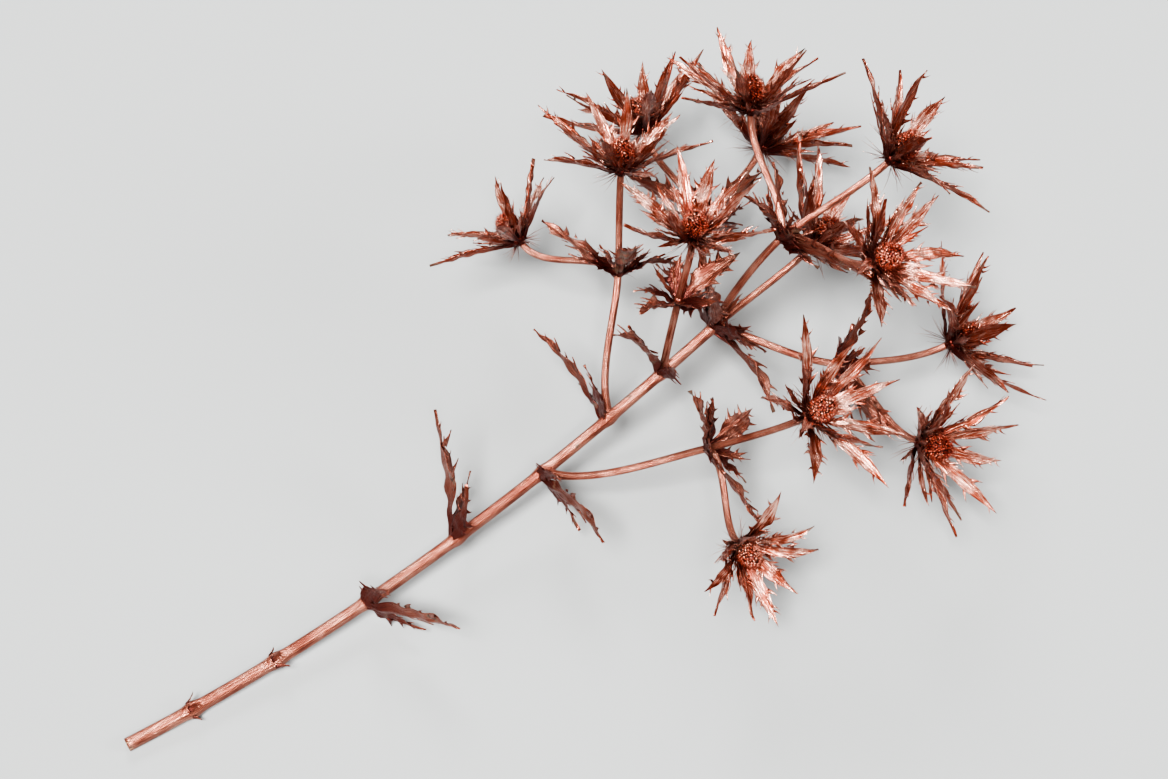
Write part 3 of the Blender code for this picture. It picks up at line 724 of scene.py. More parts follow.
class Tissue:
    """Closed sweeps gathered into one piece, with the two sets of coordinates its paint reads.

    The grain is (distance along, distance across, seed) in metres, and the other set is (how much painted
    shade it takes near a foot or deep in a head, how far under, which also takes painted shade, how near the
    tip, where the paint is missed more) from 0 to 1."""

    def __init__(self):
        self.points = []
        self.grain = []
        self.wear = []
        self.faces = []
        self.finishes = []
        self.count = 0

    def sweep(self, rings, grain, wear, finish=0):
        """Adds closed tubes from rings of points, shaped (..., rings, points in a ring, 3)."""
        rows, sides = rings.shape[-3:-1]
        self.add(rings, rows * sides, tube_faces(rows, sides), grain, wear, finish)

    def add(self, corners, size, faces, grain, wear, finish=0):
        """Adds one or more solids with the same faces, each with the same number of corners."""
        number = corners.size // (3 * size)
        for start in self.count + size * np.arange(number):
            self.faces.extend([[corner + start for corner in face] for face in faces])
        self.finishes.extend([finish] * (number * len(faces)))
        for kept, values in ((self.points, corners), (self.grain, grain), (self.wear, wear)):
            kept.append(np.broadcast_to(values, corners.shape).reshape(-1, 3))
        self.count += corners.size // 3

    def piece(self, name, slot, *paints):
        """The gathered sweeps as one object that stands for the node of that name."""
        points = np.concatenate(self.points) - np.array(FOOTPRINT_CENTRE)
        points = np.clip(points, np.array(cad_low), np.array(cad_high))
        mesh = bpy.data.meshes.new(f"{name}_detail")
        mesh.from_pydata(points.tolist(), [], self.faces)
        for kind, values in (("grain", self.grain), ("wear", self.wear)):
            layer = mesh.attributes.new(kind, "FLOAT_VECTOR", "POINT")
            layer.data.foreach_set("vector", np.concatenate(values).astype(np.float32).ravel())
        for paint in paints:
            mesh.materials.append(paint)
        mesh.polygons.foreach_set("use_smooth", np.ones(len(mesh.polygons), bool))
        mesh.polygons.foreach_set("material_index", np.array(self.finishes, np.int32))
        mesh.update()
        made = bpy.data.objects.new(f"{name}_detail", mesh)
        bpy.context.scene.collection.objects.link(made)
        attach(made, "root")
        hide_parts(name)


class Habit(NamedTuple):
    """How a blade strays from its plain curve: its tip's hook and the sway of its midrib."""

    hook: float = 0.0
    sway: float = 0.0


def on_blade(blade, habit, place, out, lift):
    """Points of a blade from how far they are along, beside and above its midrib."""
    along = np.array(blade.along)
    face = np.array(blade.face)
    bend = blade.bend if abs(blade.bend) > 1e-4 else 1e-4
    angle = (bend * place)[..., None]
    reach = blade.length / bend
    rib = np.array(blade.root) + reach * (np.sin(angle) * along + (1 - np.cos(angle)) * face)
    forward = np.cos(angle) * along + np.sin(angle) * face
    upright = np.cos(angle) * face - np.sin(angle) * along
    across = np.cross(forward, upright)
    turn = (blade.twist * place)[..., None]
    side = np.cos(turn) * across - np.sin(turn) * upright
    upright = np.cos(turn) * upright + np.sin(turn) * across
    beside = out * math.cos(blade.fold) + habit.sway * np.sin(math.pi * place) * place
    rounded = np.sqrt(out * out + CREASE_ROUNDING**2) - CREASE_ROUNDING
    raised = math.sin(blade.fold) * rounded + blade.curl * out * out + lift + habit.hook * place**3
    return rib + beside[..., None] * side + raised[..., None] * upright


class Lobe(NamedTuple):
    """A strip of a blade. Its midline is bent through three points, given as distances along
    and beside the blade's midrib, and its profile lists its half widths from foot to tip."""

    line: tuple
    profile: tuple
    rows: int
    columns: int
    skin: float = SKIN
    keel: float = 0.0
    ribs: float = 0.0
    wave: float = 0.0
    roll: float = 0.0
    crumple: float = 0.0
    sink: float = 0.0


def along_line(line, share):
    """Points of a bent line, and the direction square to it, at shares of its length."""
    first, middle, last = (np.array(point) for point in line)
    share = np.asarray(share, float)[..., None]
    point = (1 - share) ** 2 * first + 2 * share * (1 - share) * middle + share**2 * last
    run = unit((1 - share) * (middle - first) + share * (last - middle))
    return point, stacked(-run[..., 1], run[..., 0])


def half_width(lobe, share):
    return np.interp(share, *zip(*lobe.profile))


def grow_lobe(tissue, blade, habit, lobe, seed):
    """One closed strip: a ribbed face, thin waved margins and a keel behind."""
    draw = random.Random(seed)
    rows = np.linspace(0.0, 1.0, lobe.rows)
    share, across = np.meshgrid(rows, np.linspace(-1.0, 1.0, lobe.columns), indexing="ij")
    middle, outward = along_line(lobe.line, share)
    beside = half_width(lobe, share) * across
    flat = middle + beside[..., None] * outward
    fading = 1 - smooth(0.7, 1.0, share)
    side_ribs = np.exp(-(((np.abs(across) - SIDE_RIB_AT) / RIB_WIDTH) ** 2))
    ribs = lobe.ribs * fading * (np.exp(-((across / RIB_WIDTH) ** 2)) + 0.65 * side_ribs)
    swing = draw.uniform(1.6, 2.8)
    phases = np.where(across > 0, draw.random(), draw.random())
    waves = np.sin(2 * math.pi * (swing * share + phases))
    wave = lobe.wave * across**2 * waves * smooth(0.0, 0.25, share)
    wave += lobe.roll * across**4 * smooth(0.1, 0.4, share)
    wave -= lobe.sink * (1 - smooth(0.0, 0.5, share))
    for _ in range(3):
        along_it = draw.uniform(2.5, 6.0) * share + draw.random()
        beside_it = draw.uniform(-0.7, 0.7) * across
        wave += lobe.crumple * fading * np.sin(2 * math.pi * (along_it + beside_it))
    skin = MARGIN_SKIN + (lobe.skin - MARGIN_SKIN) * (1 - across**2) * (1 - 0.6 * share)
    keel = lobe.keel * np.exp(-((across / 0.3) ** 2)) * (1 - 0.75 * share)

    def wrapped(face, back):
        return np.concatenate([face, back[:, ::-1]], axis=1)

    lift = wrapped(wave + 0.5 * skin + ribs, wave - 0.5 * skin - keel)
    under = wrapped(np.zeros_like(share), np.ones_like(share))
    flat, share, beside = (wrapped(part, part) for part in (flat, share, beside))
    place = flat[..., 0] / blade.length
    grain = stacked(share * math.dist(lobe.line[0], lobe.line[2]) + flat[..., 0], beside, draw.random())
    # Painted shade: darker from the blade's foot up to FOOT_SHARE of its length, and on its back, where the
    # paint also lies thinner; near the tip the paint is missed more.
    wear = stacked(1 - smooth(0.0, FOOT_SHARE, place), under, smooth(0.8, 1.0, share))
    tissue.sweep(on_blade(blade, habit, place, flat[..., 1], lift), grain, wear)


def scaled(profile, width):
    return tuple((share, width * part) for share, part in profile)


def midline(blade, aside=0.0):
    return (0.0, 0.0), (0.5 * blade.length, aside), (blade.length, 0.0)


def spine_lobe(root, tip, half, rows=6, slant=0.38, bend=None):
    """A needle-tipped spine between a root inside the blade and its tip."""
    bend = bend or ((1 - slant) * root[0] + slant * tip[0], 0.3 * root[1] + 0.7 * tip[1])
    return Lobe((root, bend, tip), scaled(SPINE_PROFILE, half), rows, 3, skin=0.55 * half)


def margin_spine(lobe, share, side, reach, lean, half):
    """A small spine that stands on a lobe's margin and leans forward."""
    middle, outward = along_line(lobe.line, share)
    ahead = np.array((outward[1], -outward[0]))
    width = half_width(lobe, share)
    root = middle + side * max(0.0, width - 0.6 * half) * outward
    tip = middle + side * (width + reach) * outward + lean * ahead
    bend = middle + side * (width + 0.5 * reach) * outward + 0.2 * lean * ahead
    return spine_lobe(tuple(root), tuple(tip), half, rows=5, bend=tuple(bend))


def grow_bract(tissue, blade, name):
    """A lance-shaped bract with its spines."""
    draw = random.Random(f"bract {name}")
    habit = Habit(draw.uniform(-0.0034, 0.0022), draw.uniform(-0.0018, 0.0018))
    width = blade.outlines[0][0][1] / lance(0.0)
    body = Lobe(
        midline(blade, draw.uniform(-0.0006, 0.0006)), scaled(BRACT_PROFILE, width), keel=0.75 * blade.rib,
        wave=draw.uniform(0.0002, 0.0008), roll=draw.uniform(-0.0006, 0.0012), **BRACT_FORM,
    )
    grow_lobe(tissue, blade, habit, body, f"{name} body")
    for side, outline in zip((1, -1), blade.outlines):
        for number, (place, out, _) in enumerate(outline[2::3]):
            base = place - SPINE_BACK
            root = (base * blade.length, side * (half_width(body, base) - SPINE_SUNK))
            tip = (place * blade.length + 0.0006, side * (out + draw.uniform(0.0004, 0.0016)))
            spine = spine_lobe(root, tip, draw.uniform(0.0012, 0.0018))
            grow_lobe(tissue, blade, habit, spine, f"{name} spine {side} {number}")
        for number in range(draw.choice((2, 3, 3, 4))):
            reach = draw.uniform(0.0009, 0.0030)
            small = margin_spine(body, draw.uniform(0.2, 0.92), side, reach, 0.001 + reach, 0.0008)
            grow_lobe(tissue, blade, habit, small, f"{name} small {side} {number}")


def grow_leaf(tissue, blade, name):
    """A three-lobed leaf: its lobes share a foot, and spines stand on all their margins."""
    draw = random.Random(f"leaf {name}")
    habit = Habit(draw.uniform(-0.004, 0.002), draw.uniform(-0.0015, 0.0015))
    width = blade.outlines[0][0][1] / 0.16
    middle = Lobe(
        midline(blade, draw.uniform(-0.001, 0.001)), scaled(LEAF_PROFILE, width), keel=0.7 * blade.rib,
        wave=draw.uniform(0.0008, 0.0016), **LEAF_FORM,
    )
    grow_lobe(tissue, blade, habit, middle, f"{name} middle")
    for side, outline in zip((1, -1), blade.outlines):
        place, out, _ = outline[4]
        foot = (0.02 * blade.length, 0.0)
        bend = (0.10 * blade.length, side * 0.55 * out)
        line = foot, bend, (place * blade.length, side * out)
        lobe = Lobe(
            line, scaled(SIDE_LOBE_PROFILE, out), keel=0.5 * blade.rib, wave=draw.uniform(0.0006, 0.0012),
            **SIDE_LOBE_FORM,
        )
        grow_lobe(tissue, blade, habit, lobe, f"{name} lobe {side}")
        teeth = [margin_spine(lobe, 0.50, side, 0.0045, 0.003, 0.0024)]
        for share in (0.34, 0.68, 0.82):
            teeth.append(margin_spine(lobe, share, side, draw.uniform(0.0015, 0.003), 0.002, 0.0012))
        for share in (0.60, 0.78):
            teeth.append(margin_spine(lobe, share, -side, draw.uniform(0.0015, 0.003), 0.003, 0.0013))
        for base, (place, out, _) in ((0.49, outline[8]), (0.72, outline[11])):
            root = (base * blade.length, side * (half_width(middle, base) - TOOTH_SUNK))
            teeth.append(spine_lobe(root, (place * blade.length, side * out), 0.0023, slant=0.4))
        for share in (0.40, 0.62, 0.86):
            teeth.append(margin_spine(middle, share, side, draw.uniform(0.001, 0.0025), 0.0025, 0.0011))
        for number, tooth in enumerate(teeth):
            grow_lobe(tissue, blade, habit, tooth, f"{name} tooth {side} {number}")


def grow_needles(tissue, roots, along, lengths, radius, bends, darkness):
    """Many curved three-sided needles at once, each from its own root."""
    helper = np.where(np.abs(along[..., 2:3]) < 0.8, np.array((0.0, 0.0, 1.0)), np.array((1.0, 0.0, 0.0)))
    side = unit(np.cross(along, helper))
    share = np.linspace(0.0, 1.0, NEEDLE_ROWS)[None, :, None]
    angle = 2 * math.pi * np.arange(3) / 3
    spokes = fanned(side[:, None, None], np.cross(along, side)[:, None, None], angle)
    curve = share * along[:, None] + (bends[:, None, None] * share**2) * side[:, None]
    midline = roots[:, None] + lengths[:, None, None] * curve
    rings = midline[:, :, None] + (radius * (1 - 0.9 * share**1.6))[..., None] * spokes
    grain = stacked(share * lengths[:, None, None], angle * 0.0004, roots[:, 0, None, None] * 90)
    # Painted shade: a needle is darker towards its root, by its darkness, and not at all at its tip, which
    # the paint misses more.
    wear = stacked(darkness * (1 - share), 0.0, 0.5 * share)
    tissue.sweep(rings, grain, wear)


def grow_fringe(tissue, draw, foot, facing, fringe, ring, size=1.0):
    """A ring of needles round an axis."""
    turns = 2 * math.pi * (np.arange(fringe.count) + draw.random(fringe.count)) / fringe.count
    outward = fanned(*around(facing), turns)
    along = fanned(facing, outward, draw.uniform(*fringe.spread, fringe.count))
    lengths = size * fringe.length * draw.uniform(*fringe.stray, fringe.count)
    bends = draw.uniform(-fringe.bend, fringe.bend, fringe.count)
    grow_needles(tissue, foot + ring * outward, along, lengths, fringe.radius, bends, fringe.darkness)


def grow_tuft(tissue, foot, facing, ring, tuft, name, size=1.0):
    """Short narrow spiny bracts that stand in a ring, round a cone or round a joint."""
    draw = random.Random(f"tuft {name}")
    for number in range(tuft.count):
        turn = 2 * math.pi * (number + draw.uniform(-0.3, 0.3)) / tuft.count
        blade = spread_blade(
            foot, facing, between(*around(facing), turn), draw.uniform(*tuft.spread), ring,
            length=draw.uniform(*(size * end for end in tuft.length)), bend=draw.uniform(-0.1, 0.6),
            twist=draw.uniform(-0.6, 0.6), fold=draw.uniform(0.3, 0.6), curl=0.0, rib=0.0006,
        )
        profile = scaled(BRACT_PROFILE, 0.0012 + draw.uniform(0.07, 0.13) * blade.length)
        body = Lobe(midline(blade), profile, **SMALL_BRACT_FORM)
        grow_lobe(tissue, blade, Habit(draw.uniform(-0.001, 0.001)), body, f"{name} {number}")
        for side in (1, -1) * (SMALL_SPINES // 2):
            share = draw.uniform(0.25, 0.85)
            reach = draw.uniform(0.0008, 0.0026)
            spine = margin_spine(body, share, side, reach, SMALL_SPINE_LEAN, 0.0005)
            grow_lobe(tissue, blade, Habit(), spine, f"{name} {number} {side}")


def grow_leaf_stubs(tissue, stem, number):
    """Torn feet of stripped leaves round a joint of the lower stem."""
    centre, heading, radius = stem
    draw = random.Random(f"stubs {number}")
    for piece in range(STUBS_PER_NODE):
        turn = 2 * math.pi * (piece + draw.uniform(-0.2, 0.2)) / STUBS_PER_NODE
        stub = spread_blade(
            centre - heading * STUB_DEPTH, heading, between(*around(heading), turn), draw.uniform(0.15, 0.4),
            0.95 * radius * KNUCKLE_SWELL, length=draw.uniform(0.004, 0.009), bend=-0.6,
            twist=draw.uniform(-0.3, 0.3), fold=0.3, curl=60.0, rib=0.0004,
        )
        lobe = Lobe(midline(stub), STUB_PROFILE, **STUB_FORM)
        grow_lobe(tissue, stub, Habit(), lobe, f"stub {number} {piece}")


def tube_rings(axis, sides, ribbing):
    """Rings of a ribbed tube along an axis, with how far round each point is."""
    across = axis.headings[0].orthogonal().normalized()
    angle = 2 * math.pi * np.arange(sides) / sides
    ribs = 1 - ribbing + ribbing * np.cos(5 * angle) + 0.4 * ribbing * np.cos(15 * angle + 1.0)
    rings = []
    for point, heading, radius in zip(*axis):
        across = square_to(across, heading)
        rings.append(np.array(point) + radius * ribs[:, None] * fanned(across, heading.cross(across), angle))
    return np.array(rings), angle


def grow_tube(tissue, axis, sides, seed):
    """A stretch of stem, closed at both ends."""
    rings, angle = tube_rings(axis, sides, RIBBING)
    steps = [0.0]
    for low, high in zip(axis.points, axis.points[1:]):
        steps.append(steps[-1] + (high - low).length)
    grain = stacked(np.array(steps)[:, None], angle * np.array(axis.radii)[:, None], seed)
    tissue.sweep(rings, grain, np.zeros(3))


def grow_turned(tissue, foot, heading, profile, sides, seed, ribbing, wear=(0.0, 0.0, 0.0), finish=0):
    """A turned shape from (radius, height) pairs."""
    radii, heights = zip(*profile)
    axis = Axis([foot + heading * height for height in heights], [heading] * len(profile), radii)
    rings, angle = tube_rings(axis, sides, ribbing)
    grain = stacked(np.array(heights)[:, None], angle * radii[1], seed)
    tissue.sweep(rings, grain, np.array(wear), finish)


def grow_knuckle(tissue, centre, heading, radius, seed):
    """A rounded, ribbed swelling where stems part."""
    turns = [math.pi * step / 10 for step in range(1, 10)]
    profile = [(radius * math.sin(turn), -0.95 * radius * math.cos(turn)) for turn in turns]
    profile = [(0.1 * radius, -radius), *profile, (0.1 * radius, radius)]
    grow_turned(tissue, centre, heading, profile, STALK_SIDES, seed, 0.04, KNUCKLE_DARKENING)


def finer_axis(axis, count, before=0.0, after=0.0):
    """The same stretch of stem with more points, and a straight bit that sinks each end."""
    ends = (axis.points[0], axis.headings[0], axis.points[-1], axis.headings[-1])
    points, headings, radii = grown_axis(*ends, axis.radii[0], axis.radii[-1], count)
    if before or after:
        points = [points[0] - headings[0] * before, *points, points[-1] + headings[-1] * after]
        headings = [headings[0], *headings, headings[-1]]
        radii = [radii[0], *radii, radii[-1]]
    return Axis(points, headings, radii)


def grow_main_stem(axes, leaves, paints):
    tissue = Tissue()
    fine = finer_axis(axes[0], STEM_STEPS)
    length = sum((high - low).length for low, high in zip(fine.points, fine.points[1:]))
    leaving = [branch.leaves_at for branch in BRANCHES]
    nodes = sorted({*STRIPPED_NODES_AT, *(share for share, _, _ in STEM_LEAVES), *leaving})
    shares = np.arange(STEM_STEPS + 1) / STEM_STEPS
    swell = sum(np.exp(-(((shares - node) * length / NODE_LENGTH) ** 2)) for node in nodes)
    swollen = fine._replace(radii=np.array(fine.radii) * (1 + (KNUCKLE_SWELL - 1) * swell))
    grow_tube(tissue, swollen, STEM_SIDES, 0.1)
    grow_tube(tissue, finer_axis(axes[1], STALK_STEPS, 0.001, EMBEDDED), STALK_SIDES, 0.2)
    point, heading, radius = along_axis(fine, 1.0)
    grow_knuckle(tissue, point, heading, radius * KNUCKLE_SWELL, 0.3)
    grow_fringe(tissue, seeded("whorl"), np.array(point), heading, WHORL_WHISKERS, WHISKER_RING)
    grow_tuft(tissue, point, heading, 0.9 * radius, WHORL_TUFT, "whorl")
    for number, leaf in enumerate(leaves):
        grow_leaf(tissue, leaf, f"main {number}")
    for number, share in enumerate(STRIPPED_NODES_AT):
        grow_leaf_stubs(tissue, along_axis(fine, share), number)
    rim = fine.radii[0]
    profile = [(width * rim, height) for width, height in CUT_FACE]
    grow_turned(tissue, fine.points[0], -fine.headings[0], profile, 36, 0.4, 0.03, finish=1)
    tissue.piece("main_stem", "stem", *paints)


def grow_branch(branch, axes, leaves, paints):
    tissue = Tissue()
    foot = finer_axis(axes[0], BRANCH_STEPS, BRANCH_FOOT)
    swell = 0.3 * np.exp(-((np.arange(len(foot.points)) / 3.0) ** 2))
    foot = foot._replace(radii=np.array(foot.radii) * (1 + swell))
    grow_tube(tissue, foot, STALK_SIDES, random.Random(branch.name).random())
    heading = axes[0].headings[-1]
    grow_knuckle(tissue, branch.fork, heading, 1.3 * BRANCH_RADIUS, 0.5)
    for number, axis in enumerate(axes[1:]):
        grow_tube(tissue, finer_axis(axis, STALK_STEPS, 0.0, EMBEDDED), STALK_SIDES, 0.13 * number)
    for number, leaf in enumerate(leaves):
        grow_leaf(tissue, leaf, f"{branch.name} {number}")
    grow_fringe(tissue, seeded(branch.name), np.array(branch.fork), heading, FORK_WHISKERS, WHISKER_RING)
    grow_tuft(tissue, branch.fork, heading, 0.9 * BRANCH_RADIUS, FORK_TUFT, branch.name)
    tissue.piece(branch.name, "stem", *paints)


def grow_ruff(site, bracts, bristles, paints):
    """The ruff of one head: cup, bracts, inner bracts, needles and whiskers."""
    tissue = Tissue()
    reach = cup_reach(site)
    profile = (
        (0.6 * STALK_RADIUS, -0.0012), (1.02 * STALK_RADIUS, -0.0004), (1.25 * STALK_RADIUS, 0.0006),
        (0.82 * reach, 0.38 * CUP_HEIGHT), (reach, 0.65 * CUP_HEIGHT), (0.95 * reach, CUP_HEIGHT),
        (0.6 * reach, 1.12 * CUP_HEIGHT), (0.2 * reach, 1.15 * CUP_HEIGHT),
    )
    # The cup is painted dark as the shade deep in the ruff.
    grow_turned(tissue, site.foot, site.facing, profile, 32, 0.6, 0.03, CUP_SHADE)
    for number, bract in enumerate(bracts):
        grow_bract(tissue, bract, f"{site.name} {number}")
    ring = site.foot + site.facing * (0.8 * CUP_HEIGHT)
    grow_tuft(tissue, ring, site.facing, 0.9 * reach, HEAD_TUFT, site.name, site.size)
    draw = seeded(site.name)
    for fringe, height, share in ((NEEDLES, 1.45, 0.80), (WHISKERS, 0.3, 0.55)):
        foot = np.array(site.foot) + height * CUP_HEIGHT * np.array(site.facing)
        grow_fringe(tissue, draw, foot, site.facing, fringe, share * reach, site.size)
    roots, along, lengths = (np.array(part) for part in zip(*bristles))
    bends = np.linspace(-0.25, 0.25, len(bristles))
    grow_needles(tissue, roots, along, lengths, BRISTLE_THICKNESS, bends, 0.6)
    tissue.piece(f"head_{site.name}_bracts", "bracts", *paints)


def cone_surface(site, level, turn):
    """Points, outward directions and widths of a head's cone, from its foot up."""
    foot, radius, height = cone_form(site)
    facing = np.array(site.facing)
    outward = fanned(*around(site.facing), turn)
    width = cone_width(radius, level)
    points = np.array(foot) + (CONE_FILL * height * level)[..., None] * facing + width[..., None] * outward
    step = 0.01
    rise = cone_width(radius, level + step) - cone_width(radius, level - step)
    slope = rise / (2 * step * CONE_FILL * height)
    return points, unit(outward - slope[..., None] * facing), width


def floret_solid():
    """One floret standing on its own origin, outward along z: a bud, its teeth and a needle.

    A spike is (radius and height of its root, radius and height of its tip, thickness)."""
    corners = []

    def put(angle, reach, aside, height):
        across = (-math.sin(angle), math.cos(angle))
        corners.append((
            reach * math.cos(angle) + aside * across[0], reach * math.sin(angle) + aside * across[1], height,
        ))

    for radius, height in BUD_PROFILE:
        for side in range(FLORET_SIDES):
            put(2 * math.pi * side / FLORET_SIDES, radius, 0.0, height)
    *walls, foot, top = tube_faces(4, FLORET_SIDES)
    faces = [*walls, top, foot]
    spikes = [(*FLORET_TOOTH, 2 * math.pi * side / FLORET_SIDES) for side in range(FLORET_SIDES)]
    spikes.append((*FLORET_NEEDLE, FLORET_NEEDLE_TURN))
    for inner, low, outer, high, thick, angle in spikes:
        a, b, c, d = range(len(corners), len(corners) + 4)
        for turn in (0.0, 2 * math.pi / 3, 4 * math.pi / 3):
            put(angle, inner + thick * math.cos(turn), thick * math.sin(turn), low)
        put(angle, outer, 0.0, high)
        faces += [(a, b, d), (b, c, d), (c, a, d), (c, b, a)]
    return FLORET_UNIT * np.array(corners), faces


def grow_cone(site, paints):
    """The egg of florets: a core painted dark as the shade between them, then florets set in spirals over
    it.
    """
    tissue = Tissue()
    level = np.linspace(0.0, 1.075, 16)[:, None]
    turn = 2 * math.pi * np.arange(28)[None] / 28
    core, normal, _ = cone_surface(site, *np.broadcast_arrays(level, turn))
    grain = stacked(level * 0.02, turn * 0.007, 0.5)
    tissue.sweep(core - CORE_DEPTH * normal, grain, np.array(CORE_SHADE))
    steps = np.linspace(0.0, 1.07, 400)
    widths = cone_width(cone_form(site)[1], steps)
    arc = np.hypot(np.gradient(widths), CONE_FILL * CONE_HEIGHT * np.gradient(steps))
    area = np.cumsum(widths * arc)
    count = round(FLORETS_PER_HEAD * (0.35 + 0.65 * site.size))
    levels = np.interp((np.arange(count) + 0.5) / count, area / area[-1], steps)
    draw = seeded(site.name, 1)
    turns = GOLDEN_ANGLE * np.arange(count) + draw.uniform(-0.06, 0.06, count)
    points, normals, _ = cone_surface(site, levels, turns)
    facing = np.array(site.facing)
    scatter = draw.uniform(-FLORET_SCATTER, FLORET_SCATTER, normals.shape)
    normals = unit(normals + FLORET_LEAN * facing + scatter)
    side = unit(np.cross(normals, facing))
    axes = np.stack([-np.cross(normals, side), side, normals], axis=1)
    corners, faces = floret_solid()
    size = (draw.uniform(0.8, 1.2, count) * (0.6 + 0.4 * site.size))[:, None, None]
    sunk = draw.choice((0.0003, 0.0008, 0.0018), count, p=(0.5, 0.4, 0.1))[:, None, None]
    grown = sum(corners[None, :, part, None] * axes[:, None, part] for part in range(3))
    grown = points[:, None] - sunk * normals[:, None] + size * grown
    height = np.broadcast_to(corners[:, 2], (count, len(corners)))
    # Painted shade: florets are darker where they sink in among the others, and the lower cone is darker low
    # in the ruff.
    sunk_in = 1 - smooth(0.0, 0.0014, height)
    shaded = 1 - smooth(0.0, 0.60, levels)[:, None]
    wear = stacked(np.maximum(sunk_in, shaded), 0.0, smooth(0.0012, 0.002, height))
    grain = stacked(height, 0.0, draw.random(count)[:, None])
    tissue.add(grown, len(corners), faces, grain, wear)
    tissue.piece(f"head_{site.name}_cone", "florets", *paints)


# Paint
class Paint(NamedTuple):
    """A copper spray: its colour where it lies thick, which the streaks' crests also take as a painted
    highlight, thin, in painted shade in grooves and underneath, and in painted shade at a blade's foot, and
    the bare plant's. Streaks are per metre along and across, and the more is missed, the more of the plant
    stays bare."""

    light: tuple
    middle: tuple
    deep: tuple
    foot: tuple
    bare: tuple
    metallic: float
    streaks: tuple
    missed: float


STEM_PAINT = Paint(
    (0.42, 0.20, 0.15), (0.25, 0.078, 0.050), (0.14, 0.034, 0.022), (0.10, 0.023, 0.018),
    (0.08, 0.045, 0.03), 0.75, (45.0, 2600.0, 31.0), 0.02,
)
BRACT_PAINT = Paint(
    (0.90, 0.55, 0.45), (0.28, 0.072, 0.041), (0.19, 0.035, 0.019), (0.09, 0.017, 0.013),
    (0.06, 0.03, 0.02), 0.85, (60.0, 2400.0, 31.0), 0.03,
)
FLORET_PAINT = Paint(
    (0.86, 0.43, 0.32), (0.43, 0.096, 0.056), (0.21, 0.030, 0.018), (0.035, 0.008, 0.008),
    (0.10, 0.04, 0.02), 0.8, (300.0, 600.0, 57.0), 0.0,
)
PITH_TONES = ((0.0, (0.20, 0.12, 0.06)), (1.0, (0.62, 0.47, 0.30)))
FLOOR_TONES = ((0.263, 0.274, 0.277), (0.284, 0.296, 0.299))
FLOOR_REACH = 6.0
BUMP_DEPTH = 0.00045
BLOTCH_SCALE = 90.0
SPECKLE_SCALE = 1600.0
BLOTCH_SHARE = 0.6
COAT_SHIFT = -0.27
FOOT_SHADE = -0.13
TONE_STOPS = (0.36, 0.50, 0.68)
DULL_TO_GLOSSY = (0.42, 0.19)


class Graph:
    """A new material, with short ways to add linked nodes to it."""

    def __init__(self, name):
        self.material = bpy.data.materials.new(name)
        self.material.use_nodes = True
        self.tree = self.material.node_tree
        self.shader = self.tree.nodes["Principled BSDF"]

    def fill(self, node, inputs):
        for key, value in inputs.items():
            if isinstance(value, bpy.types.NodeSocket):
                self.tree.links.new(value, node.inputs[key])
            else:
                node.inputs[key].default_value = value

    def add(self, kind, inputs, output=0, **settings):
        node = self.tree.nodes.new(kind)
        for key, value in settings.items():
            setattr(node, key, value)
        self.fill(node, inputs)
        return node.outputs[output]

    def noise(self, place, scale, **inputs):
        return self.add("ShaderNodeTexNoise", {"Vector": place, "Scale": scale, **inputs})

    def reckon(self, operation, *values):
        return self.add("ShaderNodeMath", dict(enumerate(values)), operation=operation)

    def ranged(self, value, ends, results):
        inputs = {"From Min": ends[0], "From Max": ends[1], "To Min": results[0], "To Max": results[1]}
        return self.add("ShaderNodeMapRange", {"Value": value, **inputs})

    def mixed(self, share, first, tone):
        return self.add("ShaderNodeMix", {0: share, 6: first, 7: (*tone, 1.0)}, 2, data_type="RGBA")

    def ramp(self, share, stops):
        """A colour between (position, colour) stops."""
        node = self.tree.nodes.new("ShaderNodeValToRGB")
        self.fill(node, {"Fac": share})
        ends = node.color_ramp.elements
        for end, (position, tone) in zip((ends[0], ends[1]), (stops[0], stops[-1])):
            end.position = position
            end.color = (*tone, 1.0)
        for position, tone in stops[1:-1]:
            ends.new(position).color = (*tone, 1.0)
        return node.outputs[0]


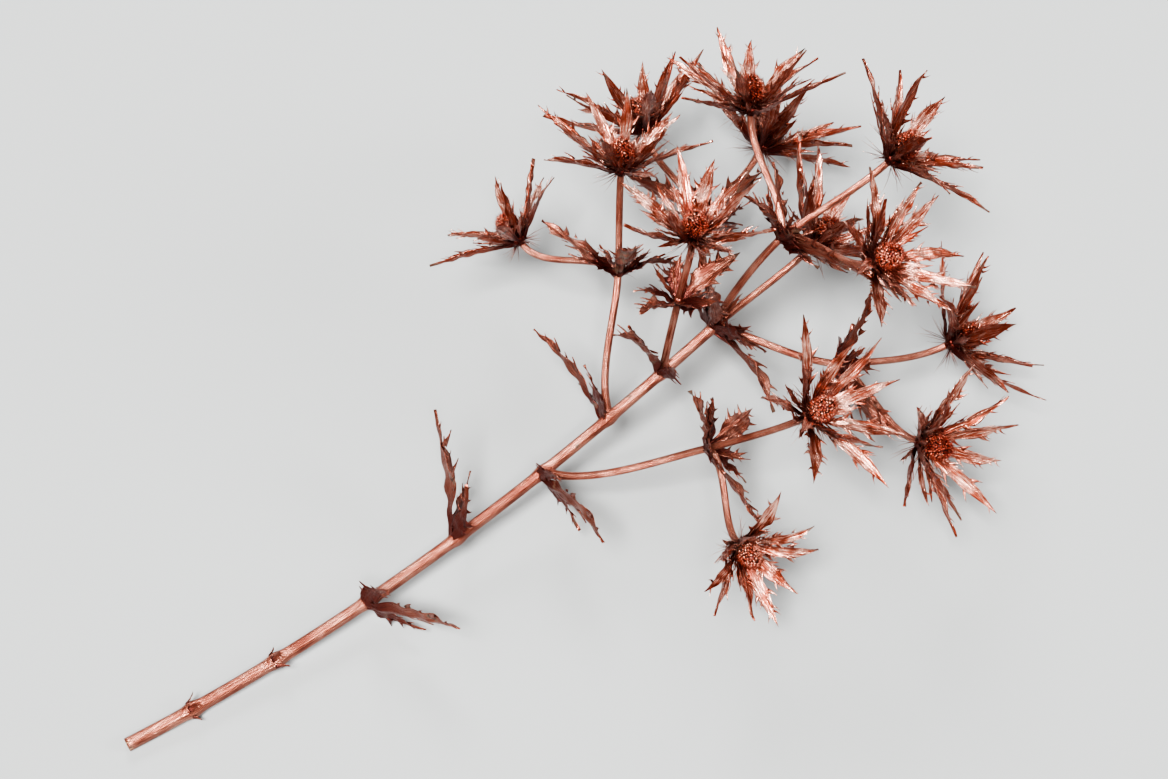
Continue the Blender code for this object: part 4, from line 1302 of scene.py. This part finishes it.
def copper_paint(name, paint):
    graph = Graph(name)
    grain = graph.add("ShaderNodeAttribute", {}, "Vector", attribute_name="grain")
    wear = graph.add("ShaderNodeAttribute", {}, "Vector", attribute_name="wear")
    split = graph.tree.nodes.new("ShaderNodeSeparateXYZ")
    graph.fill(split, {0: wear})
    # The foot and under masks lay painted shade, the under one with thinner paint as well; the tip mask lets
    # the paint miss more.
    foot, under, tip = split.outputs
    place = graph.add("ShaderNodeTexCoord", {}, "Object")
    stretched = graph.add("ShaderNodeVectorMath", {0: grain, 1: paint.streaks}, operation="MULTIPLY")
    streaks = graph.noise(stretched, 1.0, Detail=3.0, Roughness=0.55)
    blotches = graph.noise(place, BLOTCH_SCALE, Detail=3.0, Roughness=0.6)
    speckle = graph.noise(place, SPECKLE_SCALE, Detail=2.0)
    # Tone from uneven coats (the blotches), the streaks and the foot. The streaks also raise the bump, so
    # their crests are painted lighter as a painted highlight and their grooves darker as painted shade, and
    # the foot adds painted shade.
    coats_and_painted_light = graph.reckon("MULTIPLY_ADD", blotches, BLOTCH_SHARE, COAT_SHIFT)
    coats_and_painted_light = graph.reckon("ADD", streaks, coats_and_painted_light)
    coats_and_painted_light = graph.reckon("MULTIPLY_ADD", foot, FOOT_SHADE, coats_and_painted_light)
    colour = graph.ramp(coats_and_painted_light, tuple(zip(TONE_STOPS, (paint.deep, paint.middle, paint.light))))
    # Painted shade on the undersides, which also stand for thinner paint there.
    colour = graph.mixed(graph.reckon("MULTIPLY", under, 0.6), colour, paint.deep)
    # Painted shade: the dark foot colour spreads up from each blade's foot and into the hollows, ragged with
    # the streaks.
    footed = graph.reckon("MULTIPLY_ADD", streaks, 0.7, foot)
    colour = graph.mixed(graph.ranged(footed, (0.45, 1.05), (0.0, 0.92)), colour, paint.foot)
    tips = graph.reckon("MULTIPLY_ADD", tip, 0.12, blotches)
    thin = graph.reckon("MULTIPLY_ADD", under, 0.05, tips)
    bare = graph.ranged(thin, (0.70 - paint.missed, 0.74 - paint.missed), (0.0, 0.9))
    colour = graph.mixed(bare, colour, paint.bare)
    shine = graph.ranged(bare, (0.0, 1.0), (paint.metallic, 0.1))
    rough = graph.ranged(streaks, (0.35, 0.65), DULL_TO_GLOSSY)
    relief = graph.reckon("MULTIPLY_ADD", speckle, 0.30, streaks)
    bump = graph.add("ShaderNodeBump", {"Height": relief, "Strength": 1.0, "Distance": BUMP_DEPTH})
    graph.fill(graph.shader, {"Base Color": colour, "Metallic": shine, "Roughness": rough, "Normal": bump})
    return graph.material


def pith_material():
    """The unpainted face of the cut: pale dry pith with darker fibres."""
    graph = Graph("pith")
    place = graph.add("ShaderNodeTexCoord", {}, "Object")
    cells = graph.add("ShaderNodeTexVoronoi", {"Vector": place, "Scale": 2600.0}, "Distance")
    colour = graph.ramp(cells, PITH_TONES)
    bump = graph.add("ShaderNodeBump", {"Height": cells, "Strength": 0.6, "Distance": 0.0002})
    graph.fill(graph.shader, {"Base Color": colour, "Normal": bump, "Roughness": 0.85})
    return graph.material


def lay_floor():
    mesh = bpy.data.meshes.new("floor")
    corners = [(x * FLOOR_REACH, y * FLOOR_REACH, 0) for x, y in ((-1, -1), (1, -1), (1, 1), (-1, 1))]
    mesh.from_pydata(corners, [], [(0, 1, 2, 3)])
    floor = bpy.data.objects.new("floor", mesh)
    bpy.context.scene.collection.objects.link(floor)
    graph = Graph("floor")
    mottle = graph.noise(graph.add("ShaderNodeTexCoord", {}, "Object"), 3.0, Detail=2.0)
    first, second = FLOOR_TONES
    graph.fill(graph.shader, {"Base Color": graph.mixed(mottle, (*first, 1.0), second), "Roughness": 0.7})
    mesh.materials.append(graph.material)


# Camera and lights. A light is (azimuth from the camera's, elevation, spread, strength, colour)
AIM = Vector((-0.018, 0.028, 0.060))
CAMERA_AZIMUTH = 50.0
CAMERA_ELEVATION = 62.0
CAMERA_DISTANCE = 1.32
LENS = 80.0
LIGHTS = {
    "key": (-30, 66, 0.32, 8.1, (1.0, 0.985, 0.965)),
    "front": (8, 58, 0.14, 1.7, (1.0, 0.97, 0.94)),
    "side": (85, 30, 0.35, 1.5, (1.0, 1.0, 1.0)),
    "back": (190, 38, 0.35, 1.7, (1.0, 1.0, 1.0)),
}
SKY_COLOUR = (1.0, 0.90, 0.85, 1.0)
SKY_STRENGTH = 0.13


def stand(name, data, azimuth, elevation, distance):
    """A light or camera that looks at the stem, azimuth 0 on the cut end's side."""
    turn = math.radians(azimuth)
    rise = math.radians(elevation)
    away = Vector((math.sin(turn) * math.cos(rise), -math.cos(turn) * math.cos(rise), math.sin(rise)))
    made = bpy.data.objects.new(name, data)
    bpy.context.scene.collection.objects.link(made)
    made.location = AIM + distance * away
    made.rotation_euler = (AIM - made.location).to_track_quat("-Z", "Y").to_euler()
    return made


def set_stage():
    """Floor, sky, camera, and large soft lights so far off that they fall evenly."""
    scene = bpy.context.scene
    lay_floor()
    scene.world = bpy.data.worlds.new("studio")
    scene.world.use_nodes = True
    sky = scene.world.node_tree.nodes["Background"]
    sky.inputs[0].default_value = SKY_COLOUR
    sky.inputs[1].default_value = SKY_STRENGTH
    for name, (azimuth, elevation, spread, strength, colour) in LIGHTS.items():
        light = bpy.data.lights.new(name, "SUN")
        light.angle = spread
        light.energy = strength
        light.color = colour
        stand(name, light, CAMERA_AZIMUTH + azimuth, elevation, 2.0)
    scene.view_settings.look = "AgX - High Contrast"
    camera = bpy.data.cameras.new("camera")
    camera.lens = LENS
    scene.camera = stand("camera", camera, CAMERA_AZIMUTH, CAMERA_ELEVATION, CAMERA_DISTANCE)


def main():
    stems, leaves, sites, bracts, bristles = plan_stem()
    pith = pith_material()
    stem_paint = copper_paint("copper_stem", STEM_PAINT)
    bract_paint = copper_paint("copper_bracts", BRACT_PAINT)
    floret_paint = copper_paint("copper_florets", FLORET_PAINT)
    grow_main_stem(stems["main_stem"], leaves["main_stem"], (stem_paint, pith))
    for branch in BRANCHES:
        grow_branch(branch, stems[branch.name], leaves[branch.name], (stem_paint,))
    for site in sites:
        grow_ruff(site, bracts[site.name], bristles[site.name], (bract_paint,))
        grow_cone(site, (floret_paint,))
    set_stage()


main()
